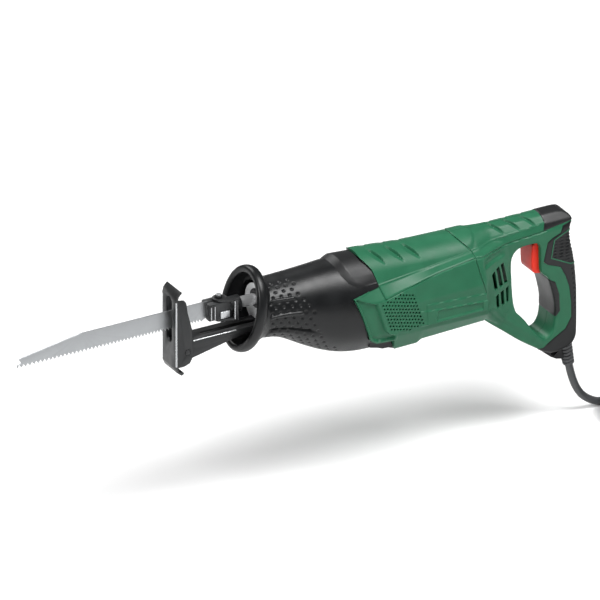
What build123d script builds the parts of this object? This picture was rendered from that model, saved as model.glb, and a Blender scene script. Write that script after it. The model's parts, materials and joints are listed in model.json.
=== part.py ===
"""Corded reciprocating saw with a closed D-handle. All sizes are in millimetres.

The origin is the centre of the hand grip. X runs along the tool and the blade points to -X,
Y runs across the tool, and Z is up.
"""

import os
from math import cos, pi, radians, sin, tan

from build123d import *

os.makedirs("parts", exist_ok=True)

# ---------------------------------------------------------------- driving dimensions
AXIS_Z = 70.0            # height of the plunger and blade axis above the grip
MOTOR_Z = 42.0           # height of the motor axis
WALL = 2.6               # wall of the plastic shells
SEAM = 0.4               # gap along the seams between shells

BLADE_TIP_X = -576.4
BLADE_REAR_X = -354.0
BLADE_BACK_Z = AXIS_Z + 9.8
BLADE_TEETH_Z = AXIS_Z - 9.8
BLADE_THICKNESS = 1.25
TOOTH_DEPTH = 3.2

PLUNGER_RADIUS = 5.4
PLUNGER_FRONT_X = -350.0
STROKE = 28.0
CLAMP_X = -362.0         # axis of the clamp's lever pin

SHOE_FRONT_X = -414.7
SHOE_PIVOT_X = -402.0
SHOE_PIVOT_Z = 39.0
SHOE_HALF_WIDTH = 13.0
SHEET = 2.2              # sheet steel of the shoe
ARM_HALF_WIDTH = 10.2
ARM_TOP_Z = 48.0
ARM_REAR_X = -274.0
LOCK_SCREW_X = -308.0

GUARD_X = -335.0
GUARD_Z = 62.5
GUARD_LEAN = 13.5        # degrees that the guard flange leans back

GEAR_X = -236.0
GEAR_TEETH = 48
PINION_TEETH = 8
GEAR_RADIUS = 26.0       # mean radius of the crown gear's teeth
PINION_RADIUS = GEAR_RADIUS * PINION_TEETH / GEAR_TEETH
GEAR_FACE_Z = MOTOR_Z + PINION_RADIUS + 1.25
GEAR_DISC = 5.0
YOKE_Z = 58.4
YOKE_HEIGHT = 7.0

CORD_DIAMETER = 7.5
FLOOR_Z = -134.4         # surface that the cord lies on
COIL_RADIUS = 45.0
COIL_COLUMNS = 3
COIL_LAYERS = 3


# ---------------------------------------------------------------- shape helpers
def block(x, y, z, mode=Mode.ADD):
    """Rectangular block between two limits along each axis."""
    with Locations(((x[0] + x[1]) / 2, (y[0] + y[1]) / 2, (z[0] + z[1]) / 2)):
        Box(x[1] - x[0], y[1] - y[0], z[1] - z[0], mode=mode)


def rod_x(x, radius, y=0.0, z=AXIS_Z, mode=Mode.ADD):
    """Round bar along X."""
    with BuildSketch(Plane.YZ.offset(x[0])) as disc:
        with Locations((y, z)):
            Circle(radius)
    extrude(disc.sketch, amount=x[1] - x[0], mode=mode)


def rod_y(y, radius, x, z, mode=Mode.ADD):
    """Round bar along Y."""
    with BuildSketch(Plane.XZ.offset(-y[1])) as disc:
        with Locations((x, z)):
            Circle(radius)
    extrude(disc.sketch, amount=y[1] - y[0], mode=mode)


def rod_z(z, radius, x, y=0.0, mode=Mode.ADD):
    """Round bar along Z."""
    with BuildSketch(Plane.XY.offset(z[0])) as disc:
        with Locations((x, y)):
            Circle(radius)
    extrude(disc.sketch, amount=z[1] - z[0], mode=mode)


def side_prism(points, y, mode=Mode.ADD):
    """Side-view outline of (X, Z) points, as thick as the two Y limits are apart."""
    with BuildSketch(Plane.XZ.offset(-y[1])) as outline:
        with BuildLine():
            Polyline(*points, close=True)
        make_face()
    extrude(outline.sketch, amount=y[1] - y[0], mode=mode)


def side_solid(points, half_width=80.0):
    """Loose solid that covers a side-view region across the whole tool."""
    with BuildPart() as region:
        side_prism(points, (-half_width, half_width))
    return region.part


def one_side(sign):
    """Everything on one side of the middle plane, clear of it by half a seam."""
    near = SEAM / 4
    limits = (near, 120.0) if sign > 0 else (-120.0, -near)
    with BuildPart() as half:
        block((-700, 100), limits, (-200, 200))
    return half.part


# ---------------------------------------------------------------- shell envelopes
# Nose sections: X, top, bottom, half width
NOSE = [
    (-326.0, 85.5, 35.5, 28.0),
    (-300.0, 87.0, 30.0, 30.0),
    (-268.0, 88.0, 14.0, 33.5),
    (-236.0, 89.5, 0.0, 39.0),
    (-200.0, 90.0, -3.5, 40.2),
]

# Motor and handle sections: X, top, half width, half width of the bottom edge, bottom
BODY = [
    (-244.0, 92.0, 41.5, 31.0, -7.0),
    (-159.0, 88.5, 41.5, 33.0, -5.0),
    (-93.0, 87.0, 39.0, 31.0, -1.5),
]
FLARE = [
    (-124.0, 87.6, 40.0, 32.0, -3.0),
    (-93.0, 87.0, 39.0, 31.0, -1.5),
    (-82.0, 87.0, 31.5, 22.0, -8.0),
    (-70.0, 87.0, 23.5, 15.0, -16.0),
    (-57.0, 87.0, 14.0, 9.0, -20.0),
]
BODY_CENTRE_Z = 42.0


def nose_solid(grow):
    """Loft of the nose's elliptical sections, grown by an amount all round."""
    with BuildPart() as nose:
        for x, top, bottom, half in NOSE:
            with BuildSketch(Plane.YZ.offset(x)):
                with Locations((0, (top + bottom) / 2)):
                    Ellipse(half + grow, (top - bottom) / 2 + grow)
        loft(ruled=True)
    return nose.part


def shouldered_outline(top, half, keel, bottom, wall):
    """Right half of a motor section, from the ridge down: rounded top, sloping shoulder, flat side."""
    rise = (top - BODY_CENTRE_Z - wall) / (top - BODY_CENTRE_Z)
    drop = (BODY_CENTRE_Z - bottom - wall) / (BODY_CENTRE_Z - bottom)
    width = (half - wall) / half
    upper = [(0.58, 0.73), (0.76, 0.63), (0.98, 0.47), (1.0, 0.0)]
    points = [(half * y * width, BODY_CENTRE_Z + (top - BODY_CENTRE_Z) * z * rise) for y, z in upper]
    points.append((half * 0.96 * width, BODY_CENTRE_Z - (BODY_CENTRE_Z - bottom) * 0.66 * drop))
    points.append((keel * width, BODY_CENTRE_Z - (BODY_CENTRE_Z - bottom) * drop))
    return points


def body_solid(stations, wall):
    """Loft of the motor or handle sections, shrunk by a wall."""
    with BuildPart() as body:
        for x, top, half, keel, bottom in stations:
            right = shouldered_outline(top, half, keel, bottom, wall)
            left = [(-y, z) for y, z in reversed(right)]
            with BuildSketch(Plane.YZ.offset(x)):
                with BuildLine():
                    Polyline(*right, *left)
                    ThreePointArc(left[-1], (0, top - wall), right[0])
                make_face()
        loft(ruled=True)
    return body.part


# Side-view lines where the shells meet
FRONT_LINE = [(-213, 74), (-240, 67), (-234, 53.5), (-228, 36), (-219.5, 16), (-208, 8), (-201, -1), (-201, -30)]
REAR_LINE = [(-120, 110), (-120, 86), (-111, 74), (-97, 25), (-93, -5), (-93, -30)]
COVER_LINE = [(-213, 110), (-213, 74), (-205, 55.5), (-111, 75.4), (-120, 86), (-120, 110)]
COLLAR_LINE = [(-244, 110), (-240, 88), (-238, 80), (-235.5, 75.5), (-229, 74), (-213.4, 74), (-213.4, 110)]


def shifted(points, dx, dz=0.0):
    """The same side-view points, moved."""
    return [(x + dx, z + dz) for x, z in points]


# ---------------------------------------------------------------- blade
def blade_outline():
    """Blade profile: sloping back at the tip, hooked nose and teeth that get finer to the rear."""
    points = [(BLADE_REAR_X, AXIS_Z + 6.0), (-372.0, AXIS_Z + 6.0), (-374.0, BLADE_BACK_Z)]
    points += [(-508.0, BLADE_BACK_Z), (BLADE_TIP_X + 1.6, AXIS_Z - 0.8)]
    points += [(BLADE_TIP_X + 4.4, AXIS_Z - 5.1), (BLADE_TIP_X + 0.6, AXIS_Z - 6.7), (BLADE_TIP_X, BLADE_TEETH_Z)]
    x = BLADE_TIP_X
    while x < -381.0:
        pitch = 4.6 - 1.6 * (x - BLADE_TIP_X) / 196.0
        points.append((x + 0.45 * pitch, BLADE_TEETH_Z + TOOTH_DEPTH))
        points.append((x + pitch, BLADE_TEETH_Z))
        x += pitch
    points += [(-376.0, BLADE_TEETH_Z + TOOTH_DEPTH), (-372.0, AXIS_Z - 6.0), (BLADE_REAR_X, AXIS_Z - 6.0)]
    return points


with BuildPart() as blade:
    side_prism(blade_outline(), (-BLADE_THICKNESS / 2, BLADE_THICKNESS / 2))
blade.part.label = "blade"

# ---------------------------------------------------------------- blade clamp
with BuildPart() as clamp_body:
    block((-376, -352), (-7.6, 7.6), (AXIS_Z - 8.2, AXIS_Z + 8.2))
    fillet(clamp_body.edges().filter_by(Axis.Z), 1.5)
    rod_x((-353, -341), 8.0)
    for x in (-374.5, -370.5):
        block((x - 0.8, x + 0.8), (-8.6, -7.4), (AXIS_Z - 7.4, AXIS_Z + 7.4))
        block((x - 0.8, x + 0.8), (7.4, 8.6), (AXIS_Z - 7.4, AXIS_Z + 7.4))
    block((-377, -352.5), (-0.8, 0.8), (AXIS_Z - 10, AXIS_Z + 10), mode=Mode.SUBTRACT)
    rod_x((-351.5, -340), PLUNGER_RADIUS + 0.02, mode=Mode.SUBTRACT)
    rod_z((AXIS_Z - 10, AXIS_Z + 10), 2.42, CLAMP_X, mode=Mode.SUBTRACT)
    rod_y((-9, 9), 1.82, -345.5, AXIS_Z, mode=Mode.SUBTRACT)
clamp_body.part.label = "clamp_body"

with BuildPart() as lever_pin:
    rod_z((AXIS_Z - 12.2, AXIS_Z + 12.2), 2.4, CLAMP_X)
    rod_z((AXIS_Z + 11.2, AXIS_Z + 13.6), 3.6, CLAMP_X)
    fillet(lever_pin.faces().sort_by(Axis.Z)[-1].edges(), 1.6)
    rod_z((AXIS_Z - 13.2, AXIS_Z - 11.2), 3.2, CLAMP_X)
    block((CLAMP_X - 4, CLAMP_X + 4), (-0.8, 0.8), (AXIS_Z - 8.4, AXIS_Z + 8.4), mode=Mode.SUBTRACT)
lever_pin.part.label = "lever_pin"

with BuildPart() as clamp_lever:
    for z0 in (AXIS_Z + 8.7, AXIS_Z - 10.7):
        with BuildSketch(Plane.XY.offset(z0)) as plate:
            with Locations((CLAMP_X, 0)):
                Circle(6.2)
            with BuildLine():
                Polyline((CLAMP_X - 4, -6), (CLAMP_X + 14, -13), (CLAMP_X + 14, -10.4), (CLAMP_X + 5, -3.5), close=True)
            make_face()
            with Locations((CLAMP_X, 0)):
                Circle(2.6, mode=Mode.SUBTRACT)
        extrude(plate.sketch, amount=2.0)
    block((CLAMP_X + 10.5, CLAMP_X + 14), (-12.8, -10.6), (AXIS_Z - 10.7, AXIS_Z + 10.7))
clamp_lever.part.label = "clamp_lever"

with BuildPart() as clamp_plate:
    block((CLAMP_X - 2.5, CLAMP_X + 7), (-9.0, -7.7), (AXIS_Z - 7.6, AXIS_Z - 0.8))
    fillet(clamp_plate.edges().filter_by(Axis.Y), 0.8)
clamp_plate.part.label = "clamp_plate"

with BuildPart() as cross_pin:
    rod_y((-9.4, 9.4), 1.8, -345.5, AXIS_Z)
    chamfer(cross_pin.edges(), 0.4)
cross_pin.part.label = "cross_pin"

# ---------------------------------------------------------------- plunger and yoke
with BuildPart() as plunger:
    rod_x((PLUNGER_FRONT_X, -228), PLUNGER_RADIUS)
    chamfer(plunger.edges(), 0.6)
    rod_y((-9, 9), 1.82, -345.5, AXIS_Z, mode=Mode.SUBTRACT)
    block((-248, -222), (-8, 8), (AXIS_Z - 8, AXIS_Z - 3.9), mode=Mode.SUBTRACT)
plunger.part.label = "plunger"

with BuildPart() as yoke:
    block((GEAR_X - 9, GEAR_X + 9), (-20.5, 20.5), (YOKE_Z, YOKE_Z + YOKE_HEIGHT))
    fillet(yoke.edges().filter_by(Axis.Z), 3.0)
    block((GEAR_X - 9, GEAR_X + 8), (-4, 4), (YOKE_Z, AXIS_Z - 4.0))
    block((GEAR_X - 4, GEAR_X + 4), (-18, 18), (YOKE_Z - 1, YOKE_Z + 5.4), mode=Mode.SUBTRACT)
yoke.part.label = "yoke"

with BuildPart() as front_bush:
    rod_x((-317, -300), 8.0)
    rod_x((-318, -299), PLUNGER_RADIUS + 0.05, mode=Mode.SUBTRACT)
front_bush.part.label = "front_bush"

with BuildPart() as rear_bush:
    rod_x((-284, -266), 8.0)
    rod_x((-285, -265), PLUNGER_RADIUS + 0.05, mode=Mode.SUBTRACT)
rear_bush.part.label = "rear_bush"

with BuildPart() as plunger_seal:
    rod_x((-324, -318.2), 9.5)
    fillet(plunger_seal.faces().sort_by(Axis.X)[0].edges(), 1.5)
    rod_x((-325, -317), PLUNGER_RADIUS + 0.35, mode=Mode.SUBTRACT)
plunger_seal.part.label = "plunger_seal"

# ---------------------------------------------------------------- adjustable shoe
SHOE_SIDE = [
    (SHOE_FRONT_X, 24.5), (SHOE_FRONT_X, 95), (-413.4, 99.5), (-409.6, 103.6), (-408.0, 102.0),
    (-411.6, 98.4), (SHOE_FRONT_X + SHEET, 95), (SHOE_FRONT_X + SHEET, 24.5), (-411.2, 20.8),
    (-408.4, 18.6), (-406.6, 19.2), (-406.2, 17.4), (-408.8, 16.4), (-412.4, 19.0),
]
FLANGE_SIDE = [
    (SHOE_FRONT_X + 1.0, 94.5), (-405.5, 93), (-403.6, 90), (-402.2, 80), (-397.6, 62), (-397.2, 32),
    (-400.0, 27), (-406.0, 25), (SHOE_FRONT_X + 1.0, 25),
]
with BuildPart() as shoe_plate:
    side_prism(SHOE_SIDE, (-SHOE_HALF_WIDTH, SHOE_HALF_WIDTH))
    with BuildSketch(Plane.YZ.offset(SHOE_FRONT_X - 1)) as slot:
        with Locations((0, 71.5)):
            SlotOverall(47, 10.5, rotation=90)
    extrude(slot.sketch, amount=6, mode=Mode.SUBTRACT)
    for y in ((-SHOE_HALF_WIDTH, -SHOE_HALF_WIDTH + 2.2), (SHOE_HALF_WIDTH - 2.2, SHOE_HALF_WIDTH)):
        side_prism(FLANGE_SIDE, y)
    rod_y((-20, 20), 3.05, SHOE_PIVOT_X, SHOE_PIVOT_Z, mode=Mode.SUBTRACT)
shoe_plate.part.label = "shoe_plate"

with BuildPart() as shoe_pivot_pin:
    rod_y((-12.4, 12.4), 3.0, SHOE_PIVOT_X, SHOE_PIVOT_Z)
    for y in ((-13.4, -12.2), (12.2, 13.4)):
        rod_y(y, 2.6, SHOE_PIVOT_X, SHOE_PIVOT_Z)
shoe_pivot_pin.part.label = "shoe_pivot_pin"

ARM_SIDE = [
    (SHOE_PIVOT_X, ARM_TOP_Z), (ARM_REAR_X, ARM_TOP_Z), (ARM_REAR_X, 42), (-338, 42), (-362, 37.5), (-398, 29.9),
]
ARM_CORE = [
    (-393, ARM_TOP_Z - 2), (ARM_REAR_X - 3, ARM_TOP_Z - 2), (ARM_REAR_X - 3, 30), (-393, 20),
]
with BuildPart() as shoe_arm:
    side_prism(ARM_SIDE, (-ARM_HALF_WIDTH, ARM_HALF_WIDTH))
    rod_y((-ARM_HALF_WIDTH, ARM_HALF_WIDTH), 9.0, SHOE_PIVOT_X, SHOE_PIVOT_Z)
    side_prism(ARM_CORE, (-ARM_HALF_WIDTH + 2.0, ARM_HALF_WIDTH - 2.0), mode=Mode.SUBTRACT)
    with BuildSketch(Plane.XY.offset(ARM_TOP_Z - 4)) as arm_slot:
        with Locations((-331, 0)):
            SlotOverall(102, 5.6)
    extrude(arm_slot.sketch, amount=6, mode=Mode.SUBTRACT)
    rod_y((-20, 20), 3.07, SHOE_PIVOT_X, SHOE_PIVOT_Z, mode=Mode.SUBTRACT)
shoe_arm.part.label = "shoe_arm"

with BuildPart() as arm_lock_screw:
    rod_z((43.0, 45.4), 5.0, LOCK_SCREW_X)
    rod_z((45.4, 57.0), 2.0, LOCK_SCREW_X)
    with BuildSketch(Plane.XY.offset(42.0)) as socket:
        with Locations((LOCK_SCREW_X, 0)):
            RegularPolygon(2.0, 6)
    extrude(socket.sketch, amount=2.2, mode=Mode.SUBTRACT)
arm_lock_screw.part.label = "arm_lock_screw"

# ---------------------------------------------------------------- gear housing
CASE_SCREWS = [(-293.0, -14.2, 60.0), (-293.0, 14.2, 60.0), (-217.0, -15.0, 67.0), (-217.0, 15.0, 67.0)]
with BuildPart() as gear_case:
    rod_x((-322, -204), 11.4)
    block((-320, -272), (-14.0, 14.0), (44.0, 60.0))
    rod_z((42.4, 58.0), 34.2, GEAR_X)
    rod_z((9.0, 44.0), 14.5, GEAR_X)
    block((-264, -208), (-24.0, 24.0), (58.0, 69.0))
    rod_x((-322, -319), 21.0, z=63.0)
    block((-298.0, -288.0), (-17.5, 17.5), (56.0, 74.0))
    block((-222.0, -212.0), (-18.5, 18.5), (66.0, 74.0))
    # plunger bore, bush seats, yoke space and gear space
    rod_x((-330, -206.5), PLUNGER_RADIUS + 1.2, mode=Mode.SUBTRACT)
    rod_x((-317.05, -299.95), 8.05, mode=Mode.SUBTRACT)
    rod_x((-284.05, -265.95), 8.05, mode=Mode.SUBTRACT)
    block((-261.5, -210.0), (-21.5, 21.5), (56.0, 66.4), mode=Mode.SUBTRACT)
    block((-261.5, -207.0), (-6.6, 6.6), (60.0, 77.0), mode=Mode.SUBTRACT)
    rod_z((44.0, 56.6), 31.4, GEAR_X, mode=Mode.SUBTRACT)
    # bearing seats of the gear shaft
    rod_z((12.0, 19.05), 11.05, GEAR_X, mode=Mode.SUBTRACT)
    rod_z((34.0, 50.0), 11.05, GEAR_X, mode=Mode.SUBTRACT)
    rod_z((8.0, 45.0), 6.5, GEAR_X, mode=Mode.SUBTRACT)
    # way in for the pinion, slide way of the arm, thread of the locking screw
    block((-219.0, -195.0), (-7.2, 7.2), (34.0, 48.6), mode=Mode.SUBTRACT)
    block((-330.0, -268.0), (-ARM_HALF_WIDTH - 0.4, ARM_HALF_WIDTH + 0.4), (40.0, ARM_TOP_Z + 0.4), mode=Mode.SUBTRACT)
    rod_z((45.0, 58.0), 2.02, LOCK_SCREW_X, mode=Mode.SUBTRACT)
    for x, y, low in CASE_SCREWS:
        rod_z((low, 75.0), 1.52, x, y, mode=Mode.SUBTRACT)
    rod_x((-323.0, -318.1), 9.55, mode=Mode.SUBTRACT)
    block((-202.5, -190.0), (-20.0, 20.0), (30.0, 80.0), mode=Mode.SUBTRACT)
    block((-330.0, -315.0), (-ARM_HALF_WIDTH - 0.4, ARM_HALF_WIDTH + 0.4), (30.0, ARM_TOP_Z + 0.4), mode=Mode.SUBTRACT)

with BuildPart() as gear_housing:
    add(gear_case.part)
    block((-400, -100), (-60, 60), (AXIS_Z, 120), mode=Mode.SUBTRACT)
gear_housing.part.label = "gear_housing"

with BuildPart() as gear_housing_cover:
    add(gear_case.part)
    block((-400, -100), (-60, 60), (-20, AXIS_Z + 0.1), mode=Mode.SUBTRACT)
gear_housing_cover.part.label = "gear_housing_cover"

with BuildPart() as gear_housing_screws:
    for x, y, low in CASE_SCREWS:
        rod_z((low, 74.0), 1.5, x, y)
        rod_z((74.0, 76.0), 2.7, x, y)
gear_housing_screws.part.label = "gear_housing_screws"

# ---------------------------------------------------------------- crown gear and crank
with BuildPart() as crown_gear:
    rod_z((GEAR_FACE_Z, GEAR_FACE_Z + GEAR_DISC), 29.6, GEAR_X)
    for tooth in range(GEAR_TEETH):
        turn = 360.0 / GEAR_TEETH * (tooth + 0.5)
        bearing = Plane(origin=(GEAR_X, 0, GEAR_FACE_Z + 0.2)).rotated((0, 0, turn))
        with BuildSketch(bearing) as tooth_foot:
            with Locations((25.9, 0)):
                Rectangle(6.4, 1.05)
        extrude(tooth_foot.sketch, amount=-2.2)
    rod_z((GEAR_FACE_Z - 1, GEAR_FACE_Z + 9), 4.02, GEAR_X, mode=Mode.SUBTRACT)
crown_gear.part.label = "crown_gear"

with BuildPart() as gear_shaft:
    rod_z((11.5, GEAR_FACE_Z + GEAR_DISC), 4.0, GEAR_X)
    chamfer(gear_shaft.edges(), 0.5)
gear_shaft.part.label = "gear_shaft"

with BuildPart() as crank_roller:
    rod_z((GEAR_FACE_Z + GEAR_DISC, YOKE_Z - 0.5), 3.6, GEAR_X, STROKE / 2)
crank_roller.part.label = "crank_roller"

with BuildPart() as counterweight:
    with BuildSketch(Plane.XY.offset(GEAR_FACE_Z + GEAR_DISC)) as weight:
        with Locations((GEAR_X, 0)):
            Circle(26.0)
            Circle(7.0, mode=Mode.SUBTRACT)
        with Locations((GEAR_X, 18)):
            Rectangle(60, 48, mode=Mode.SUBTRACT)
    extrude(weight.sketch, amount=3.6)
counterweight.part.label = "counterweight"


def ball_bearing_z(z, x, outer, inner, width):
    """Closed ball bearing with a vertical axis, with its shields set in."""
    with BuildPart() as bearing:
        rod_z((z, z + width), outer, x)
        rod_z((z - 1, z + width + 1), inner, x, mode=Mode.SUBTRACT)
        with BuildSketch(Plane.XY.offset(z + width - 0.5)) as recess:
            with Locations((x, 0)):
                Circle(outer - 1.8)
                Circle(inner + 1.6, mode=Mode.SUBTRACT)
        extrude(recess.sketch, amount=1, mode=Mode.SUBTRACT)
    return bearing.part


def ball_bearing_x(x, z, outer, inner, width):
    """Closed ball bearing with its axis along X, with its shields set in."""
    with BuildPart() as bearing:
        rod_x((x, x + width), outer, z=z)
        rod_x((x - 1, x + width + 1), inner, z=z, mode=Mode.SUBTRACT)
        with BuildSketch(Plane.YZ.offset(x + width - 0.5)) as recess:
            with Locations((0, z)):
                Circle(outer - 1.8)
                Circle(inner + 1.6, mode=Mode.SUBTRACT)
        extrude(recess.sketch, amount=1, mode=Mode.SUBTRACT)
    return bearing.part


gear_bearing_lower = ball_bearing_z(12.0, GEAR_X, 11.0, 4.05, 7.0)
gear_bearing_lower.label = "gear_bearing_lower"
gear_bearing_upper = ball_bearing_z(34.0, GEAR_X, 11.0, 4.05, 7.0)
gear_bearing_upper.label = "gear_bearing_upper"

# ---------------------------------------------------------------- motor
with BuildPart() as pinion:
    rod_x((-216.5, -204.5), PINION_RADIUS - 1.25, z=MOTOR_Z)
    for tooth in range(PINION_TEETH):
        turn = 360.0 / PINION_TEETH * tooth
        with BuildSketch(Plane.YZ.offset(-215.5)) as pinion_tooth:
            with Locations((0, MOTOR_Z)):
                with PolarLocations(0.01, 1, start_angle=90.0 + turn):
                    with Locations((PINION_RADIUS - 0.5, 0)):
                        Rectangle(2.6, 0.9)
        extrude(pinion_tooth.sketch, amount=9.5)
pinion.part.label = "pinion"

with BuildPart() as armature_shaft:
    rod_x((-204.4, -192), 4.0, z=MOTOR_Z)
    rod_x((-192, -110), 4.6, z=MOTOR_Z)
    rod_x((-110, -101), 4.0, z=MOTOR_Z)
armature_shaft.part.label = "armature_shaft"

with BuildPart() as armature_core:
    rod_x((-174, -134), 20.0, z=MOTOR_Z)
    for slot_number in range(12):
        angle = radians(30.0 * slot_number)
        rod_x((-175, -133), 1.9, 17.6 * cos(angle), MOTOR_Z + 17.6 * sin(angle), mode=Mode.SUBTRACT)
    rod_x((-175, -133), 4.62, z=MOTOR_Z, mode=Mode.SUBTRACT)
armature_core.part.label = "armature_core"

with BuildPart() as armature_windings:
    for x in ((-182.5, -174.2), (-133.8, -125.5)):
        rod_x(x, 16.5, z=MOTOR_Z)
    fillet(armature_windings.edges(), 2.5)
    rod_x((-184, -124), 4.62, z=MOTOR_Z, mode=Mode.SUBTRACT)
armature_windings.part.label = "armature_windings"

with BuildPart() as commutator:
    rod_x((-125.2, -112.5), 11.5, z=MOTOR_Z)
    for bar in range(24):
        angle = radians(15.0 * bar)
        rod_x((-126, -114), 0.35, 11.4 * cos(angle), MOTOR_Z + 11.4 * sin(angle), mode=Mode.SUBTRACT)
    rod_x((-126, -111), 4.62, z=MOTOR_Z, mode=Mode.SUBTRACT)
commutator.part.label = "commutator"

with BuildPart() as fan:
    rod_x((-191.5, -189.5), 32.0, z=MOTOR_Z)
    rod_x((-190, -183.5), 9.0, z=MOTOR_Z)
    with BuildSketch(Plane.YZ.offset(-189.6)) as vanes:
        with Locations((0, MOTOR_Z)):
            with PolarLocations(20.5, 14):
                Rectangle(21, 1.4, rotation=22)
    extrude(vanes.sketch, amount=6.0)
    rod_x((-192, -183), 4.62, z=MOTOR_Z, mode=Mode.SUBTRACT)
fan.part.label = "fan"

front_motor_bearing = ball_bearing_x(-202.0, MOTOR_Z, 11.0, 4.05, 7.0)
front_motor_bearing.label = "front_motor_bearing"
rear_motor_bearing = ball_bearing_x(-109.5, MOTOR_Z, 11.0, 4.05, 7.0)
rear_motor_bearing.label = "rear_motor_bearing"

with BuildPart() as bearing_plate:
    rod_x((-202.0, -194.0), 14.0, z=MOTOR_Z)
    rod_x((-197.0, -194.0), 34.0, z=MOTOR_Z)
    with BuildSketch(Plane.YZ.offset(-198)) as vents:
        with Locations((0, MOTOR_Z)):
            with PolarLocations(23.5, 6, start_angle=30):
                Circle(6.0)
    extrude(vents.sketch, amount=6, mode=Mode.SUBTRACT)
    rod_x((-203.0, -194.95), 11.05, z=MOTOR_Z, mode=Mode.SUBTRACT)
    rod_x((-204.0, -190.0), 6.0, z=MOTOR_Z, mode=Mode.SUBTRACT)
bearing_plate.part.label = "bearing_plate"

with BuildPart() as stator_core:
    rod_x((-176, -132), 35.0, z=MOTOR_Z)
    rod_x((-177, -131), 20.8, z=MOTOR_Z, mode=Mode.SUBTRACT)
    for z in (MOTOR_Z - 24.5, MOTOR_Z + 24.5):
        block((-177, -131), (-14, 14), (z - 6.0, z + 6.0), mode=Mode.SUBTRACT)
stator_core.part.label = "stator_core"

with BuildPart() as field_coils:
    for z in (MOTOR_Z - 25.5, MOTOR_Z + 25.5):
        block((-181, -127), (-13.5, 13.5), (z - 4.4, z + 4.4))
    fillet(field_coils.edges().filter_by(Axis.Z), 4.0)
field_coils.part.label = "field_coils"

with BuildPart() as brush_holders:
    for sign in (-1, 1):
        limits = sorted((sign * 13.5, sign * 33.0))
        block((-123.5, -113.5), limits, (MOTOR_Z - 6, MOTOR_Z + 6))
        block((-122.2, -114.8), sorted((sign * 13.0, sign * 31.5)), (MOTOR_Z - 4.2, MOTOR_Z + 4.2), mode=Mode.SUBTRACT)
brush_holders.part.label = "brush_holders"

with BuildPart() as carbon_brushes:
    for sign in (-1, 1):
        block((-121.8, -115.2), sorted((sign * 11.9, sign * 24.0)), (MOTOR_Z - 3.9, MOTOR_Z + 3.9))
carbon_brushes.part.label = "carbon_brushes"

with BuildPart() as brush_springs:
    for sign in (-1, 1):
        rod_y(sorted((sign * 24.2, sign * 31.3)), 2.6, -118.5, MOTOR_Z)
        rod_y(sorted((sign * 24.0, sign * 31.6)), 1.7, -118.5, MOTOR_Z, mode=Mode.SUBTRACT)
brush_springs.part.label = "brush_springs"

# ---------------------------------------------------------------- nose boot, guard flange and collar
guard_plane = Plane(
    origin=(GUARD_X, 0, GUARD_Z), x_dir=(0, 1, 0),
    z_dir=(cos(radians(GUARD_LEAN)), 0, -sin(radians(GUARD_LEAN))),
)
nose_outer = nose_solid(0.0)
nose_inner = nose_solid(-WALL)

with BuildPart() as nose_boot:
    with BuildSketch(guard_plane.offset(-6)) as guard_outline:
        Ellipse(34.5, 42.0)
    extrude(guard_outline.sketch, amount=12)
    fillet(nose_boot.edges(), 4.6)
    with BuildSketch(guard_plane) as funnel_wide:
        Ellipse(30.0, 36.0)
    with BuildSketch(Plane.YZ.offset(-312)) as funnel_narrow:
        with Locations((0, 60.2)):
            Ellipse(27.6, 24.4)
    loft([funnel_wide.sketch, funnel_narrow.sketch])
    add(nose_outer)
    # hollow inside
    add(nose_inner, mode=Mode.SUBTRACT)
    with BuildSketch(guard_plane.offset(-8)) as mouth_wide:
        Ellipse(25.2, 32.0)
    with BuildSketch(Plane.YZ.offset(-312)) as mouth_narrow:
        with Locations((0, 60.2)):
            Ellipse(26.0, 23.0)
    loft([mouth_wide.sketch, mouth_narrow.sketch], mode=Mode.SUBTRACT)
    # the collar and the motor housing take the rear
    add(side_solid(shifted(COLLAR_LINE[:5], -SEAM, -SEAM) + [(-200, 73.6), (-200, 110)]), mode=Mode.SUBTRACT)
    rear_of_boot = [(-213.4, 110)] + shifted(FRONT_LINE, -SEAM) + [(-150, -30), (-150, 110)]
    side_prism(rear_of_boot, (-80, 80), mode=Mode.SUBTRACT)
    # foot under the rear edge, and the way in to the locking screw
    block((-216, -203.5), (-14, 14), (-9, 1.5))
    rod_z((20, 41), 3.5, LOCK_SCREW_X, mode=Mode.SUBTRACT)
nose_boot.part.label = "nose_boot"

with BuildPart() as gearbox_collar:
    add(nose_solid(1.2))
    add(nose_inner, mode=Mode.SUBTRACT)
    add(side_solid(COLLAR_LINE), mode=Mode.INTERSECT)
gearbox_collar.part.label = "gearbox_collar"

# ---------------------------------------------------------------- motor housing and top cover
MOTOR_SCREWS = [(-207.0, 14.0), (-119.0, 6.0)]
HANDLE_SCREWS = [(-64.0, 72.0), (1.0, -6.0), (-66.0, -12.0), (-30.0, -46.0)]


def screw_bosses(places, inside):
    """Round posts across the tool that the clamping screws go into, kept inside a shell."""
    with BuildPart() as posts:
        for x, z in places:
            rod_y((-50, 50), 4.4, x, z)
        add(inside, mode=Mode.INTERSECT)
    return posts.part


def screw_holes(places):
    """Holes of the clamping screws, with the heads' counterbores from the right side."""
    with BuildPart() as holes:
        for x, z in places:
            rod_y((-11, 60), 1.6, x, z)
            rod_y((10, 60), 3.1, x, z)
    return holes.part


body_outer = body_solid(BODY, 0.0)
body_inner = body_solid(BODY, WALL)
REAR_CUT = shifted(REAR_LINE, -SEAM / 2) + [(40, -30), (40, 110)]
FRONT_CUT = FRONT_LINE + [(-300, -30), (-300, 110), (-213, 110)]
GRILLE_PITCH = 2.9
GRILLE_RADIUS = 0.75

with BuildPart() as motor_shell:
    add(body_outer)
    add(body_inner, mode=Mode.SUBTRACT)

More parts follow.
